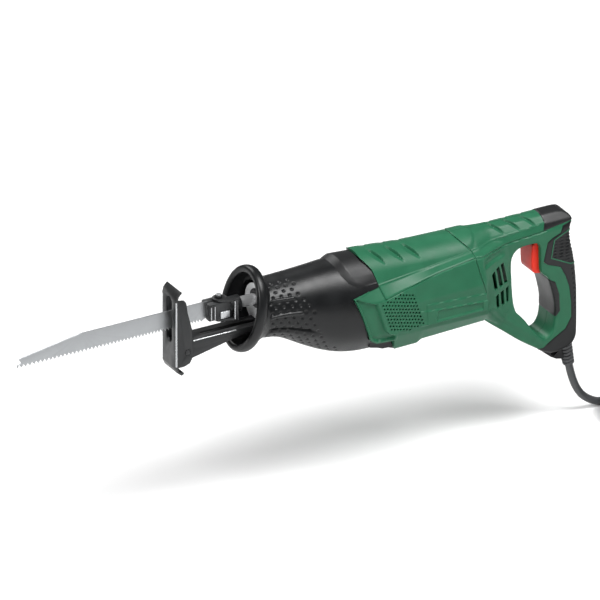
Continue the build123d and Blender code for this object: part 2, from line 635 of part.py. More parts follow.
with BuildPart() as lower_shell:
    add(motor_shell.part)
    add(side_solid(FRONT_CUT), mode=Mode.SUBTRACT)
    add(side_solid(shifted(COVER_LINE[:4], 0, -SEAM) + [(-60, 76), (-60, 110)]), mode=Mode.SUBTRACT)
    # ribs that carry the stator and the rear bearing
    for x in (-170.0, -140.0):
        with BuildSketch(Plane.YZ.offset(x)) as rib:
            with Locations((0, MOTOR_Z)):
                Rectangle(79, 36)
                Circle(35.4, mode=Mode.SUBTRACT)
        extrude(rib.sketch, amount=3)
    block((-109.5, -102.5), (-37.5, 37.5), (MOTOR_Z - 14, MOTOR_Z + 14))
    rod_x((-110, -102), 11.05, z=MOTOR_Z, mode=Mode.SUBTRACT)
    add(screw_bosses(MOTOR_SCREWS, body_inner))
    add(screw_holes(MOTOR_SCREWS), mode=Mode.SUBTRACT)
    add(side_solid(REAR_CUT), mode=Mode.SUBTRACT)


def motor_half(sign):
    """One side of the motor housing, with its air grille."""
    with BuildPart() as half:
        add(lower_shell.part)
        add(one_side(sign), mode=Mode.INTERSECT)
        outer = sign * 43.0
        with BuildSketch(Plane.XZ.offset(-max(outer, outer - sign * 4.6))) as grille:
            for row in range(11):
                count = 5 + min(row, 4)
                for column in range(count):
                    x = -199.0 + row * 0.9 + column * GRILLE_PITCH + (row % 2) * GRILLE_PITCH / 2
                    with Locations((x, 52.0 - row * GRILLE_PITCH)):
                        Circle(GRILLE_RADIUS)
        extrude(grille.sketch, amount=4.6, mode=Mode.SUBTRACT)
    return half.part


motor_housing_left = motor_half(-1)
motor_housing_left.label = "motor_housing_left"
motor_housing_right = motor_half(1)
motor_housing_right.label = "motor_housing_right"

with BuildPart() as top_cover:
    add(motor_shell.part)
    add(side_solid(COVER_LINE), mode=Mode.INTERSECT)
    add(side_solid(REAR_CUT), mode=Mode.SUBTRACT)
top_cover.part.label = "top_cover"

# ---------------------------------------------------------------- handle
GRIP_HALF_WIDTH = 16.8
HANDLE_BEVEL = 6.0
HANDLE_OUTLINE = [
    (-82, 87), (-10, 87), (10, 85), (16.5, 76), (17, 66), (10.5, 60), (14.5, 34), (17, 4), (17, -40),
    (15, -52), (0, -57), (-12, -58), (-22, -54), (-46, -38), (-68, -20), (-82, -9),
]
OPENING_OUTLINE = [
    (-57, 50), (-50, 61), (-26, 61), (-25, 28), (-17, 23), (-12.5, 8), (-9, -16), (-11, -34),
    (-21, -41), (-34, -27), (-42, -15), (-54, -2),
]


def handle_solid(wall):
    """Flared root and D-shaped frame of the handle, shrunk by a wall."""
    core = GRIP_HALF_WIDTH - wall - HANDLE_BEVEL
    with BuildPart() as frame:
        with BuildSketch(Plane.XZ.offset(-core)) as outline:
            with BuildLine():
                Polyline(*HANDLE_OUTLINE, close=True)
            make_face()
            with BuildLine():
                Polyline(*OPENING_OUTLINE, close=True)
            make_face(mode=Mode.SUBTRACT)
            if wall:
                offset(amount=-wall, kind=Kind.INTERSECTION)
        extrude(outline.sketch, amount=2 * core)
        flat_sides = frame.faces().sort_by(Axis.Y)
        for face in (flat_sides[0], flat_sides[-1]):
            extrude(face, amount=HANDLE_BEVEL, taper=38)
        add(body_solid(FLARE if not wall else FLARE[:-1], wall))
    return frame.part


handle_outer = handle_solid(0.0)
handle_inner = handle_solid(WALL)

# Side-view regions that the softer parts take
CAP_REGION = [(-26, 120), (-20, 80), (-22.4, 72.7), (2, 69.7), (40, 66), (40, 120)]
REAR_REGION = [
    (40, 65.6), (2, 69.3), (-2.4, 64.4), (-18, 61.3), (-22.4, 40.4), (-18, 36.3), (-4, 30.8), (1.3, 20.3),
    (6.7, 2.4), (7.8, -24), (1.3, -35), (-10.6, -41.6), (-22.4, -49), (-30, -50), (-30, -90), (40, -90),
]
FRONT_REGION = [(-30, 26), (-18, 21.7), (-9.5, 16.4), (-5.2, 2.9), (-4.2, -15), (-10.6, -22.8), (-30, -24)]
TRIGGER_WINDOW = [(-30, 63), (-30, 25.5), (-8, 25.5), (-8, 63)]

with BuildPart() as handle_shell:
    add(handle_outer)
    add(handle_inner, mode=Mode.SUBTRACT)
    add(side_solid(shifted(REAR_LINE, SEAM / 2) + [(-140, -30), (-140, 110)]), mode=Mode.SUBTRACT)

with BuildPart() as green_handle:
    add(handle_shell.part)
    for region in (CAP_REGION, REAR_REGION, FRONT_REGION):
        add(side_solid(region), mode=Mode.SUBTRACT)
    side_prism(TRIGGER_WINDOW, (-11.6, 11.6), mode=Mode.SUBTRACT)
    add(screw_bosses(HANDLE_SCREWS, handle_inner))
    add(screw_holes(HANDLE_SCREWS), mode=Mode.SUBTRACT)
    # air slots, two rows of three on each side
    for column in range(3):
        for low, high in ((26.0, 45.0), (5.0, 20.0)):
            x = -86.0 + 9.0 * column
            side_prism([(x, low), (x - 2.5, high), (x + 2.2, high), (x + 4.6, low)], (-60, 60), mode=Mode.SUBTRACT)


def handle_half(sign):
    """One side of the handle."""
    with BuildPart() as half:
        add(green_handle.part)
        add(one_side(sign), mode=Mode.INTERSECT)
    return half.part


handle_left = handle_half(-1)
handle_left.label = "handle_left"
handle_right = handle_half(1)
handle_right.label = "handle_right"


def region_of_handle(points, gap):
    """Piece of the handle's wall inside a side-view region, clear of the rest by a gap."""
    with BuildPart() as outline:
        with BuildSketch(Plane.XZ.offset(-60)) as face:
            with BuildLine():
                Polyline(*points, close=True)
            make_face()
            offset(amount=-gap, kind=Kind.INTERSECTION)
        extrude(face.sketch, amount=120)
    with BuildPart() as piece:
        add(handle_shell.part)
        add(outline.part, mode=Mode.INTERSECT)
    return piece


CORD_LEAN = 11.0         # degrees that the cord leaves the handle to the rear of straight down
RELIEF_LENGTH = 30.0
RELIEF_TOP_RADIUS = 7.2
RELIEF_END_RADIUS = 5.6
cord_down = Vector(sin(radians(CORD_LEAN)), 0, -cos(radians(CORD_LEAN)))
relief_plane = Plane(origin=(9.2, 0, -52.5), x_dir=(0, 1, 0), z_dir=cord_down)
cord_exit = Vector(9.2, 0, -52.5) + cord_down * RELIEF_LENGTH
LUG_OUTLINE = [(-21, -52.5), (-20, -57), (-7, -68), (6, -73), (9.5, -71), (10, -50)]

with BuildPart() as top_cap:
    add(region_of_handle(CAP_REGION, 0.15).part)
top_cap.part.label = "top_cap"

with BuildPart() as rear_grip:
    add(region_of_handle(REAR_REGION, 0.15).part)
    side_prism(TRIGGER_WINDOW, (-11.6, 11.6), mode=Mode.SUBTRACT)
    side_prism(LUG_OUTLINE, (-4.5, 4.5))
    # hanging hole through the lug below the handle
    with BuildSketch(Plane.XZ.offset(-30)) as hang_hole:
        with Locations((-1.5, -63.0)):
            SlotOverall(12, 5, rotation=36)
    extrude(hang_hole.sketch, amount=60, mode=Mode.SUBTRACT)
    with BuildSketch(relief_plane.offset(-2)) as relief_hole:
        Circle(RELIEF_TOP_RADIUS + 0.2)
    extrude(relief_hole.sketch, amount=RELIEF_LENGTH, mode=Mode.SUBTRACT)
rear_grip.part.label = "rear_grip"

with BuildPart() as front_grip_pad:
    add(region_of_handle(FRONT_REGION, 0.15).part)
front_grip_pad.part.label = "front_grip_pad"

# ---------------------------------------------------------------- switch and trigger
SPRING_Z = 44.0
TRIGGER_SIDE = [(-31, 60.6), (-32, 44), (-31, 29), (-28.5, 26.8), (-13, 26.8), (-13, 60.6)]
with BuildPart() as trigger:
    side_prism(TRIGGER_SIDE, (-11.0, 11.0))
    fillet(trigger.edges().filter_by(Axis.Z, tolerance=0.2).group_by(Axis.X)[0], 2.0)
    # bore that the spring sits in
    rod_x((-27.0, -12.0), 3.5, z=SPRING_Z, mode=Mode.SUBTRACT)
trigger.part.label = "trigger"

with BuildPart() as switch_body:
    block((-4.0, 7.0), (-9.5, 9.5), (20.0, 58.0))
    chamfer(switch_body.edges().filter_by(Axis.Y), 1.0)
switch_body.part.label = "switch_body"

with BuildPart() as trigger_spring:
    rod_x((-20.6, -4.1), 3.0, z=SPRING_Z)
    rod_x((-21.0, -4.0), 2.1, z=SPRING_Z, mode=Mode.SUBTRACT)
trigger_spring.part.label = "trigger_spring"

with BuildPart() as capacitor:
    block((-90.0, -74.0), (-9.0, 9.0), (50.0, 66.0))
    fillet(capacitor.edges(), 1.5)
capacitor.part.label = "capacitor"


# ---------------------------------------------------------------- screws and cord clamp
with BuildPart() as housing_screws:
    for x, z in MOTOR_SCREWS + HANDLE_SCREWS:
        rod_y((-10, 10), 1.5, x, z)
        rod_y((10, 12), 2.8, x, z)
housing_screws.part.label = "housing_screws"

with BuildPart() as cord_clamp:
    block((-6.0, 5.0), (-9.0, 9.0), (-34.0, -26.0))
    rod_z((-35.0, -25.0), CORD_DIAMETER / 2, -0.5, mode=Mode.SUBTRACT)
cord_clamp.part.label = "cord_clamp"

# ---------------------------------------------------------------- strain relief, cord and plug
with BuildPart() as strain_relief:
    with BuildSketch(relief_plane) as relief_top:
        Circle(RELIEF_TOP_RADIUS - 1.2)
    with BuildSketch(relief_plane.offset(RELIEF_LENGTH)) as relief_end:
        Circle(RELIEF_END_RADIUS - 0.8)
    loft([relief_top.sketch, relief_end.sketch])
    for ring in range(8):
        along = 0.5 + ring * 3.75
        radius = RELIEF_TOP_RADIUS + (RELIEF_END_RADIUS - RELIEF_TOP_RADIUS) * along / RELIEF_LENGTH
        with BuildSketch(relief_plane.offset(along)) as rib_face:
            Circle(radius)
        extrude(rib_face.sketch, amount=2.2)
strain_relief.part.label = "strain_relief"

CORD_AXIS_Z = FLOOR_Z + CORD_DIAMETER / 2
CORD_ROUTE = [
    (cord_exit.X, 0.0, cord_exit.Z),
    (20.7, 0.0, -111.4),
    (43.8, 0.0, CORD_AXIS_Z),
    (73.0, 2.0, CORD_AXIS_Z),
]
COIL_X = 92.0
COIL_Y = -46.0
COIL_Z = FLOOR_Z + 1.0
COIL_INNER = COIL_RADIUS - COIL_COLUMNS * CORD_DIAMETER / 2
COIL_OUTER = COIL_RADIUS + COIL_COLUMNS * CORD_DIAMETER / 2
COIL_HEIGHT = COIL_LAYERS * CORD_DIAMETER
PLUG_Y = 6.8
PLUG_Z = COIL_Z + 12.0
PLUG_NECK_X = 147.0
LEAD_ROUTE = [
    (110.0, 6.4, PLUG_Z + 2.9),
    (128.0, 6.6, PLUG_Z + 0.8),
    (PLUG_NECK_X, PLUG_Y, PLUG_Z),
]


def cord_tube(route):
    """Cord along straight runs joined by arcs as large as the runs allow."""
    corners = [Vector(*point) for point in route]
    runs = [b - a for a, b in zip(corners, corners[1:])]
    radii = []
    for before, after in zip(runs, runs[1:]):
        turn = radians(before.get_angle(after))
        radii.append(0.45 * min(before.length, after.length) / tan(turn / 2))
    with BuildPart() as tube:
        with BuildLine() as path:
            FilletPolyline(*route, radius=radii)
        with BuildSketch(Plane(origin=route[0], z_dir=runs[0])):
            Circle(CORD_DIAMETER / 2)
        sweep()
    length = path.wires()[0].length
    ideal = pi * (CORD_DIAMETER / 2) ** 2 * length
    print("cord radii", [round(r, 1) for r in radii], "length", round(length, 1),
          "volume over ideal", round(tube.part.volume / ideal, 4))
    return tube.part


cord_tail = cord_tube(CORD_ROUTE)
cord_tail.label = "cord_tail"
plug_lead = cord_tube(LEAD_ROUTE)
plug_lead.label = "plug_lead"

with BuildPart() as cord_coil:
    with BuildSketch(Plane.XY.offset(COIL_Z)):
        with Locations((COIL_X, COIL_Y)):
            Circle(COIL_OUTER)
            Circle(COIL_INNER, mode=Mode.SUBTRACT)
    extrude(amount=COIL_HEIGHT)
    fillet(cord_coil.edges(), CORD_DIAMETER / 2 - 0.3)
cord_coil.part.label = "cord_coil"

PLUG_SHOULDER_X = PLUG_NECK_X + 18.0
PLUG_FACE_X = PLUG_SHOULDER_X + 26.0
with BuildPart() as plug_body:
    with BuildSketch(Plane.YZ.offset(PLUG_NECK_X)) as neck:
        with Locations((PLUG_Y, PLUG_Z)):
            Circle(5.6)
    with BuildSketch(Plane.YZ.offset(PLUG_SHOULDER_X)) as shoulder:
        with Locations((PLUG_Y, PLUG_Z)):
            Circle(9.0)
    loft([neck.sketch, shoulder.sketch])
    with BuildSketch(Plane.YZ.offset(PLUG_SHOULDER_X - 2.0)) as face:
        with Locations((PLUG_Y, PLUG_Z)):
            RectangleRounded(35.0, 25.5, 12.0)
    extrude(face.sketch, amount=PLUG_FACE_X - PLUG_SHOULDER_X + 2.0)
    fillet(plug_body.faces().sort_by(Axis.X)[-1].edges(), 1.2)
plug_body.part.label = "plug_body"

with BuildPart() as plug_pins:
    for side in (-9.5, 9.5):
        rod_x((PLUG_FACE_X, PLUG_FACE_X + 19.0), 2.4, PLUG_Y + side, PLUG_Z)
plug_pins.part.label = "plug_pins"

# ---------------------------------------------------------------- export
PIECES = [
    blade.part, clamp_body.part, lever_pin.part, clamp_lever.part, clamp_plate.part, cross_pin.part,
    plunger.part, yoke.part, front_bush.part, rear_bush.part, plunger_seal.part,
    shoe_plate.part, shoe_pivot_pin.part, shoe_arm.part, arm_lock_screw.part,
    gear_housing.part, gear_housing_cover.part, gear_housing_screws.part,
    crown_gear.part, gear_shaft.part, crank_roller.part, counterweight.part,
    gear_bearing_lower, gear_bearing_upper,
    pinion.part, armature_shaft.part, armature_core.part, armature_windings.part, commutator.part, fan.part,
    front_motor_bearing, rear_motor_bearing, bearing_plate.part, stator_core.part, field_coils.part,
    brush_holders.part, carbon_brushes.part, brush_springs.part,
    nose_boot.part, gearbox_collar.part, motor_housing_left, motor_housing_right, top_cover.part,
    handle_left, handle_right, top_cap.part, rear_grip.part, front_grip_pad.part,
    trigger.part, switch_body.part, trigger_spring.part, capacitor.part, housing_screws.part,
    cord_clamp.part, strain_relief.part, cord_tail, plug_lead, cord_coil.part, plug_body.part, plug_pins.part,
]
for piece in PIECES:
    export_step(piece, f"parts/{piece.label}.step")
print(len(PIECES), "pieces")
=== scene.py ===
"""Looks of a corded reciprocating saw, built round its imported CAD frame. Lengths are in metres."""

import json
from math import cos, pi, radians, sin

import bmesh
import bpy
import numpy as np
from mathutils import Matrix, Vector


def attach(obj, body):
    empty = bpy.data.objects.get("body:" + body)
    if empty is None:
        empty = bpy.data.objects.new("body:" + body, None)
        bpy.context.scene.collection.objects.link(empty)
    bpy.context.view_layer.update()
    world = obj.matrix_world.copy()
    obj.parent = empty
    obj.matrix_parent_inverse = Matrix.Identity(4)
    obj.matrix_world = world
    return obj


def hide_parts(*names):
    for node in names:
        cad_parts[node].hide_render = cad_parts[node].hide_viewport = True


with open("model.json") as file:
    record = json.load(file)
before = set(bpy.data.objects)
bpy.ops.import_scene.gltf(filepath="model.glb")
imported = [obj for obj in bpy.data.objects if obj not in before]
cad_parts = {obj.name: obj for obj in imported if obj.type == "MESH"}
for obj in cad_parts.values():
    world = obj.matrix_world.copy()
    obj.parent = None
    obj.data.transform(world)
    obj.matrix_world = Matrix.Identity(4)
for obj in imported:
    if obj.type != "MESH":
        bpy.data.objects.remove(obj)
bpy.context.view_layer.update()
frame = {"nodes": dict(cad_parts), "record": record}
MM = 0.001
scene = bpy.context.scene
BODY_OF = {node: body for body, nodes in frame["record"]["behaviour"]["bodies"].items() for node in nodes}

# ---------------------------------------------------------------- camera
BACK = Vector((-0.4430, -0.7766, 0.4478)).normalized()
AIM = Vector((-275.0, 0.0, 56.2)) * MM
LENS = 1500.0
SENSOR = 36.0
SPAN = 0.5581                     # metres across the picture at the aim point
camera_data = bpy.data.cameras.new("camera")
camera_data.lens = LENS
camera_data.sensor_width = SENSOR
camera_data.clip_start = 0.1
camera_data.clip_end = 100.0
camera = bpy.data.objects.new("camera", camera_data)
scene.collection.objects.link(camera)
camera.location = AIM + BACK * (SPAN * LENS / SENSOR)
camera.rotation_mode = "QUATERNION"
camera.rotation_quaternion = (-BACK).to_track_quat("-Z", "Y")
scene.camera = camera

# ---------------------------------------------------------------- materials
GRAIN_DEPTH = 0.3 * MM
PATCH_DETAIL = 4.0
GRAIN_DETAIL = 2.0


def tree(name):
    """New material, its node tree and its shader."""
    material = bpy.data.materials.new(name)
    material.use_nodes = True
    nodes = material.node_tree.nodes
    return material, nodes, material.node_tree.links, nodes["Principled BSDF"]


def noise(nodes, links, coordinates, scale, detail, stretch=(1, 1, 1)):
    """Noise over the piece's own coordinates, in metres, stretched along the axes."""
    texture = nodes.new("ShaderNodeTexNoise")
    texture.inputs["Scale"].default_value = scale
    texture.inputs["Detail"].default_value = detail
    mapping = nodes.new("ShaderNodeMapping")
    mapping.inputs["Scale"].default_value = stretch
    links.new(coordinates.outputs["Object"], mapping.inputs["Vector"])
    links.new(mapping.outputs["Vector"], texture.inputs["Vector"])
    return texture


def ramp(nodes, links, source, low, high, start=0.35, end=0.65):
    """Two colours or greys blended over part of a noise's range."""
    blend = nodes.new("ShaderNodeValToRGB")
    blend.color_ramp.elements[0].position = start
    blend.color_ramp.elements[1].position = end
    for element, value in zip(blend.color_ramp.elements, (low, high)):
        element.color = (value, value, value, 1) if isinstance(value, float) else (*value, 1)
    links.new(source, blend.inputs["Fac"])
    return blend


def finish(name, colour, vary, rough, grain, bump, metallic=0.0, stretch=(1, 1, 1), specular=0.5,
           edge_lift=0.25, patch=60.0):
    """Procedural finish: uneven colour, uneven gloss, fine surface grain and convex edges drawn in a lighter
    colour.
    """
    material, nodes, links, shader = tree(name)
    coordinates = nodes.new("ShaderNodeTexCoord")
    broad = noise(nodes, links, coordinates, patch, PATCH_DETAIL)
    low = tuple(c * (1 - vary) for c in colour)
    high = tuple(min(1.0, c * (1 + vary)) for c in colour)
    tone = ramp(nodes, links, broad.outputs["Fac"], low, high)
    # sharp convex edges, found by Pointiness, are blended toward a lighter version of the colour
    edge = nodes.new("ShaderNodeNewGeometry")
    lighter_edges = ramp(nodes, links, edge.outputs["Pointiness"], 0.0, edge_lift, 0.52, 0.60)
    mix = nodes.new("ShaderNodeMix")
    mix.data_type = "RGBA"
    links.new(lighter_edges.outputs["Color"], mix.inputs["Factor"])
    links.new(tone.outputs["Color"], mix.inputs["A"])
    mix.inputs["B"].default_value = (*(min(1.0, c * 1.6 + 0.03) for c in colour), 1)
    links.new(mix.outputs["Result"], shader.inputs["Base Color"])
    fine = noise(nodes, links, coordinates, grain, GRAIN_DETAIL, stretch)
    gloss = ramp(nodes, links, broad.outputs["Fac"], rough[0], rough[1])
    links.new(gloss.outputs["Color"], shader.inputs["Roughness"])
    relief = nodes.new("ShaderNodeBump")
    relief.inputs["Strength"].default_value = bump
    relief.inputs["Distance"].default_value = GRAIN_DEPTH
    links.new(fine.outputs["Fac"], relief.inputs["Height"])
    links.new(relief.outputs["Normal"], shader.inputs["Normal"])
    shader.inputs["Metallic"].default_value = metallic
    shader.inputs["Specular IOR Level"].default_value = specular
    return material


FINISH_VALUES = {
    # slot: colour, its spread, range of roughness, grain, relief, and what differs from the defaults
    "green_plastic": (
        (0.018, 0.116, 0.058), 0.05, (0.36, 0.44), 3200, 0.10, dict(edge_lift=0.18, specular=0.24)),
    "black_rubber": (
        (0.006, 0.0066, 0.0072), 0.15, (0.32, 0.40), 3600, 0.12, dict(edge_lift=0.2, specular=0.32)),
    "black_plastic": (
        (0.009, 0.0095, 0.010), 0.12, (0.40, 0.48), 3000, 0.07, dict(edge_lift=0.2, specular=0.38)),
    "red_plastic": ((0.72, 0.026, 0.010), 0.05, (0.34, 0.42), 3000, 0.05, dict(edge_lift=0.1, specular=0.25)),
    "blade_steel": (
        (0.33, 0.34, 0.35), 0.06, (0.34, 0.46), 900, 0.12, dict(metallic=1.0, stretch=(0.04, 1, 1))),
    "dark_steel": (
        (0.020, 0.021, 0.022), 0.15, (0.34, 0.46), 1500, 0.10, dict(metallic=0.3, edge_lift=0.6, specular=0.4)),
    "bright_steel": ((0.46, 0.47, 0.48), 0.06, (0.24, 0.34), 1200, 0.06, dict(metallic=0.7)),
    "chrome_rod": (
        (0.72, 0.73, 0.74), 0.03, (0.16, 0.22), 900, 0.02, dict(metallic=0.6, stretch=(1, 0.1, 0.1))),
    "cast_aluminium": ((0.70, 0.71, 0.72), 0.05, (0.38, 0.52), 1400, 0.20, dict(metallic=0.45)),
    "bronze": ((0.50, 0.30, 0.13), 0.10, (0.35, 0.50), 2000, 0.15, dict(metallic=0.9)),
    "gear_steel": ((0.33, 0.34, 0.35), 0.10, (0.25, 0.38), 1500, 0.08, dict(metallic=1.0)),
    "lamination": (
        (0.22, 0.23, 0.25), 0.12, (0.40, 0.55), 1800, 0.25, dict(metallic=0.8, stretch=(4, 0.2, 0.2))),
    "copper": (
        (0.55, 0.22, 0.09), 0.15, (0.28, 0.40), 1600, 0.30, dict(metallic=0.9, stretch=(0.3, 2, 2))),
    "carbon": ((0.030, 0.030, 0.031), 0.15, (0.45, 0.60), 2400, 0.15, dict(metallic=0.2)),
    "seal_rubber": ((0.014, 0.014, 0.015), 0.10, (0.40, 0.50), 2500, 0.10, {}),
    "inner_plastic": ((0.24, 0.22, 0.19), 0.08, (0.40, 0.52), 2200, 0.12, {}),
    "cord_rubber": ((0.050, 0.052, 0.055), 0.10, (0.42, 0.52), 3000, 0.12, dict(edge_lift=0.15)),
    "plug_brass": ((0.66, 0.62, 0.50), 0.06, (0.18, 0.28), 1400, 0.05, dict(metallic=1.0)),
}
FINISHES = {slot: finish(slot, *values, **options) for slot, (*values, options) in FINISH_VALUES.items()}

SLOT_OF = {part["node"]: part["material_slot"] for part in frame["record"]["subparts"]}
for node_name, node in frame["nodes"].items():
    if not node.material_slots:
        node.data.materials.append(None)
    for material_slot in node.material_slots:
        material_slot.material = FINISHES[SLOT_OF[node_name]]


# ---------------------------------------------------------------- piece helpers
def place(name, mesh, slot_name, body, nodes=()):
    """Shows a mesh as a piece of the saw that rides on a body and stands for CAD nodes."""
    piece = bpy.data.objects.new(name, mesh)
    scene.collection.objects.link(piece)
    mesh.materials.clear()
    mesh.materials.append(FINISHES[slot_name])
    for polygon in mesh.polygons:
        polygon.use_smooth = True
    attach(piece, body)
    if nodes:
        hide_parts(*nodes)
    return piece


def softened(node_name, width, segments=2):
    """Copy of a CAD node's mesh with rounded edges, standing for the node."""
    mesh = bpy.data.meshes.new(node_name + "_look")
    work = bmesh.new()
    work.from_mesh(frame["nodes"][node_name].data)
    bmesh.ops.remove_doubles(work, verts=work.verts, dist=2e-6)
    bmesh.ops.dissolve_limit(work, angle_limit=radians(1.2), verts=work.verts, edges=work.edges)
    work.to_mesh(mesh)
    work.free()
    piece = place(node_name + "_look", mesh, SLOT_OF[node_name], BODY_OF[node_name], [node_name])
    bevel = piece.modifiers.new("rounding", "BEVEL")
    bevel.width = width * MM
    bevel.segments = segments
    bevel.limit_method = "ANGLE"
    bevel.angle_limit = radians(28.0)
    bevel.use_clamp_overlap = True
    bevel.harden_normals = True
    return piece


# ---------------------------------------------------------------- mains cord, its coil and its plug
CORD_DIAMETER = 7.5
FLOOR_Z = -134.4
COIL_CENTRE = (92.0, -46.0)
COIL_Z = FLOOR_Z + 1.0
TURN_POINTS = 16
# cells of the winding, in order, as (radius, layer)
CELLS = [(52.5, 0), (45.0, 0), (37.5, 0), (37.5, 1), (37.5, 2), (45.0, 2), (45.0, 1), (52.5, 1), (52.5, 2)]
# part of a turn at which the cord leaves each cell
MOVES = [0.85, 0.85, 0.69, 0.69, 0.53, 0.37, 0.21, 0.05]
MOVE_LENGTH = 0.14
TURNS = 8.07
ENTRY_ANGLE = 115.0


def coil_cell(turns):
    """Radius and layer of the winding after some turns."""
    radius, layer = CELLS[0]
    for k, start in enumerate(MOVES):
        done = min(1.0, max(0.0, (turns - k - start) / MOVE_LENGTH))
        done = done * done * (3 - 2 * done)
        radius += (CELLS[k + 1][0] - CELLS[k][0]) * done
        layer += (CELLS[k + 1][1] - CELLS[k][1]) * done
    return radius, layer


resting_z = FLOOR_Z + CORD_DIAMETER / 2
cord_points = [(14.92, 0.0, -81.95), (20.7, 0.0, -111.4), (43.8, 0.0, resting_z), (62.0, 1.0, resting_z)]
for step in range(int(TURNS * TURN_POINTS) + 1):
    turned = step / TURN_POINTS
    radius, layer = coil_cell(turned)
    angle = radians(ENTRY_ANGLE - 360.0 * turned)
    cut = cos(pi / TURN_POINTS)          # a NURBS curve runs inside its points by this factor
    cord_points.append((
        COIL_CENTRE[0] + radius / cut * cos(angle),
        COIL_CENTRE[1] + radius / cut * sin(angle),
        COIL_Z + CORD_DIAMETER * (0.5 + layer),
    ))
cord_points += [(110.0, 6.5, -115.6), (128.0, 6.7, -119.6), (147.6, 6.8, -121.4)]

cord_data = bpy.data.curves.new("mains_cord", "CURVE")
cord_data.dimensions = "3D"
cord_data.bevel_depth = CORD_DIAMETER / 2 * MM
cord_data.bevel_resolution = 6
cord_data.resolution_u = 6
spline = cord_data.splines.new("NURBS")
spline.points.add(len(cord_points) - 1)
for spline_point, point in zip(spline.points, cord_points):
    spline_point.co = (*(v * MM for v in point), 1.0)
spline.order_u = 3
spline.use_endpoint_u = True
cord_data.materials.append(FINISHES["cord_rubber"])
mains_cord = bpy.data.objects.new("mains_cord", cord_data)
scene.collection.objects.link(mains_cord)
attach(mains_cord, "housing")
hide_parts("cord_tail", "plug_lead", "cord_coil")


def strap(name, centre, outline, half_width, thickness):
    """Flat strap along x round a closed outline of (y, z) points."""
    mesh = bpy.data.meshes.new(name)
    work = bmesh.new()
    rings = []
    count = len(outline)
    for k in range(count):
        before, here, after = (Vector(outline[(k + d) % count]) for d in (-1, 0, 1))
        tangent = (after - before).normalized()
        away = Vector((tangent.y, -tangent.x))
        ring = []
        for side, lift in ((-1, 0.0), (1, 0.0), (1, 1.0), (-1, 1.0)):
            flat = here + away * thickness * lift
            spot = Vector(centre) + Vector((half_width * side, flat.x, flat.y))
            ring.append(work.verts.new(spot * MM))
        rings.append(ring)
    for k in range(count):
        a, b = rings[k], rings[(k + 1) % count]
        for j in range(4):
            work.faces.new((a[j], a[(j + 1) % 4], b[(j + 1) % 4], b[j]))
    bmesh.ops.recalc_face_normals(work, faces=work.faces)
    work.to_mesh(mesh)
    work.free()
    piece = place(name, mesh, "cord_rubber", "housing")
    bevel = piece.modifiers.new("rounding", "BEVEL")
    bevel.width = 0.25 * MM
    bevel.segments = 2
    return piece


def rounded_box_outline(half_x, half_z, radius, steps=6):
    """Rounded rectangle, clockwise."""
    points = []
    for cx, cz, start in ((1, 1, 0), (-1, 1, 90), (-1, -1, 180), (1, -1, 270)):
        for k in range(steps + 1):
            angle = radians(start + 90 * k / steps)
            points.append((
                cx * (half_x - radius) + radius * cos(angle),
                cz * (half_z - radius) + radius * sin(angle),
            ))
    return points[::-1]


tie_middle = (COIL_CENTRE[0], COIL_CENTRE[1] - 45.0, COIL_Z + 1.5 * CORD_DIAMETER)
coil_tie = strap("coil_tie", tie_middle, rounded_box_outline(11.5, 11.45, 3.6), 4.0, 0.8)
softened("strain_relief", 0.5)
plug_look = softened("plug_body", 0.6, 3)
pins_look = softened("plug_pins", 0.6, 3)


# ---------------------------------------------------------------- mesh tools
REACH = 90.0                      # half width of the boxes that cut a side off
HALF_SEAM = 0.15                  # half the gap between the left and right halves
SIDES = ((-1, "left"), (1, "right"))


def smoothstep(low, high, value):
    """0 below one value, 1 above the other, and a smooth rise between."""
    t = np.clip((value - low) / (high - low), 0.0, 1.0)
    return t * t * (3 - 2 * t)


def line_distance(x, z, points, closed=False):
    """Distance from each point to a line of (x, z) points."""
    points = list(points) + ([points[0]] if closed else [])
    best = np.full(x.shape, 1e9)
    for (ax, az), (bx, bz) in zip(points, points[1:]):
        dx, dz = bx - ax, bz - az
        t = np.clip(((x - ax) * dx + (z - az) * dz) / (dx * dx + dz * dz), 0, 1)
        best = np.minimum(best, np.hypot(x - ax - t * dx, z - az - t * dz))
    return best


def inside(x, z, points):
    """True for points inside a closed outline."""
    result = np.zeros(x.shape, bool)
    for (ax, az), (bx, bz) in zip(points, list(points[1:]) + [points[0]]):
        crosses = (az > z) != (bz > z)
        with np.errstate(divide="ignore", invalid="ignore"):
            at = ax + (z - az) * (bx - ax) / (bz - az if bz != az else 1e-9)
        result ^= crosses & (x < at)
    return result


def depth_in(x, z, points, edge):
    """1 well inside a closed outline, 0 outside, with a smooth slope of that width inside its edge."""
    return np.where(inside(x, z, points), smoothstep(0, edge, line_distance(x, z, points, True)), 0.0)


def ridge_along(x, z, points, half_width):
    """1 on a line, 0 further off than half a width, rounded between."""
    return 1 - smoothstep(0, half_width, line_distance(x, z, points))


def curve(stations, x, column=1):
    """Value at x between stations that start with their x."""
    return np.interp(x, [s[0] for s in stations], [s[column] for s in stations])


def mesh_from(name, points, faces):
    """Mesh from an array of points in millimetres and a list of faces."""
    mesh = bpy.data.meshes.new(name)
    mesh.from_pydata((np.asarray(points) * MM).tolist(), [], faces)
    return mesh


def grid_faces(rows, columns, around=False, along=False):
    """Quads of a grid of points stored row by row, closed round or along where asked."""
    faces = []
    for r in range(rows if along else rows - 1):
        for c in range(columns if around else columns - 1):
            a, b = r * columns, (r + 1) % rows * columns
            d = (c + 1) % columns
            faces.append((a + c, a + d, b + d, b + c))
    return faces


def temporary(mesh):
    """Object of a mesh that only takes part in a cut."""
    helper = bpy.data.objects.new("helper", mesh)
    scene.collection.objects.link(helper)
    return helper


def outward(mesh):
    """Turns every face outward."""
    work = bmesh.new()
    work.from_mesh(mesh)
    bmesh.ops.recalc_face_normals(work, faces=work.faces)
    work.to_mesh(mesh)
    work.free()
    return mesh


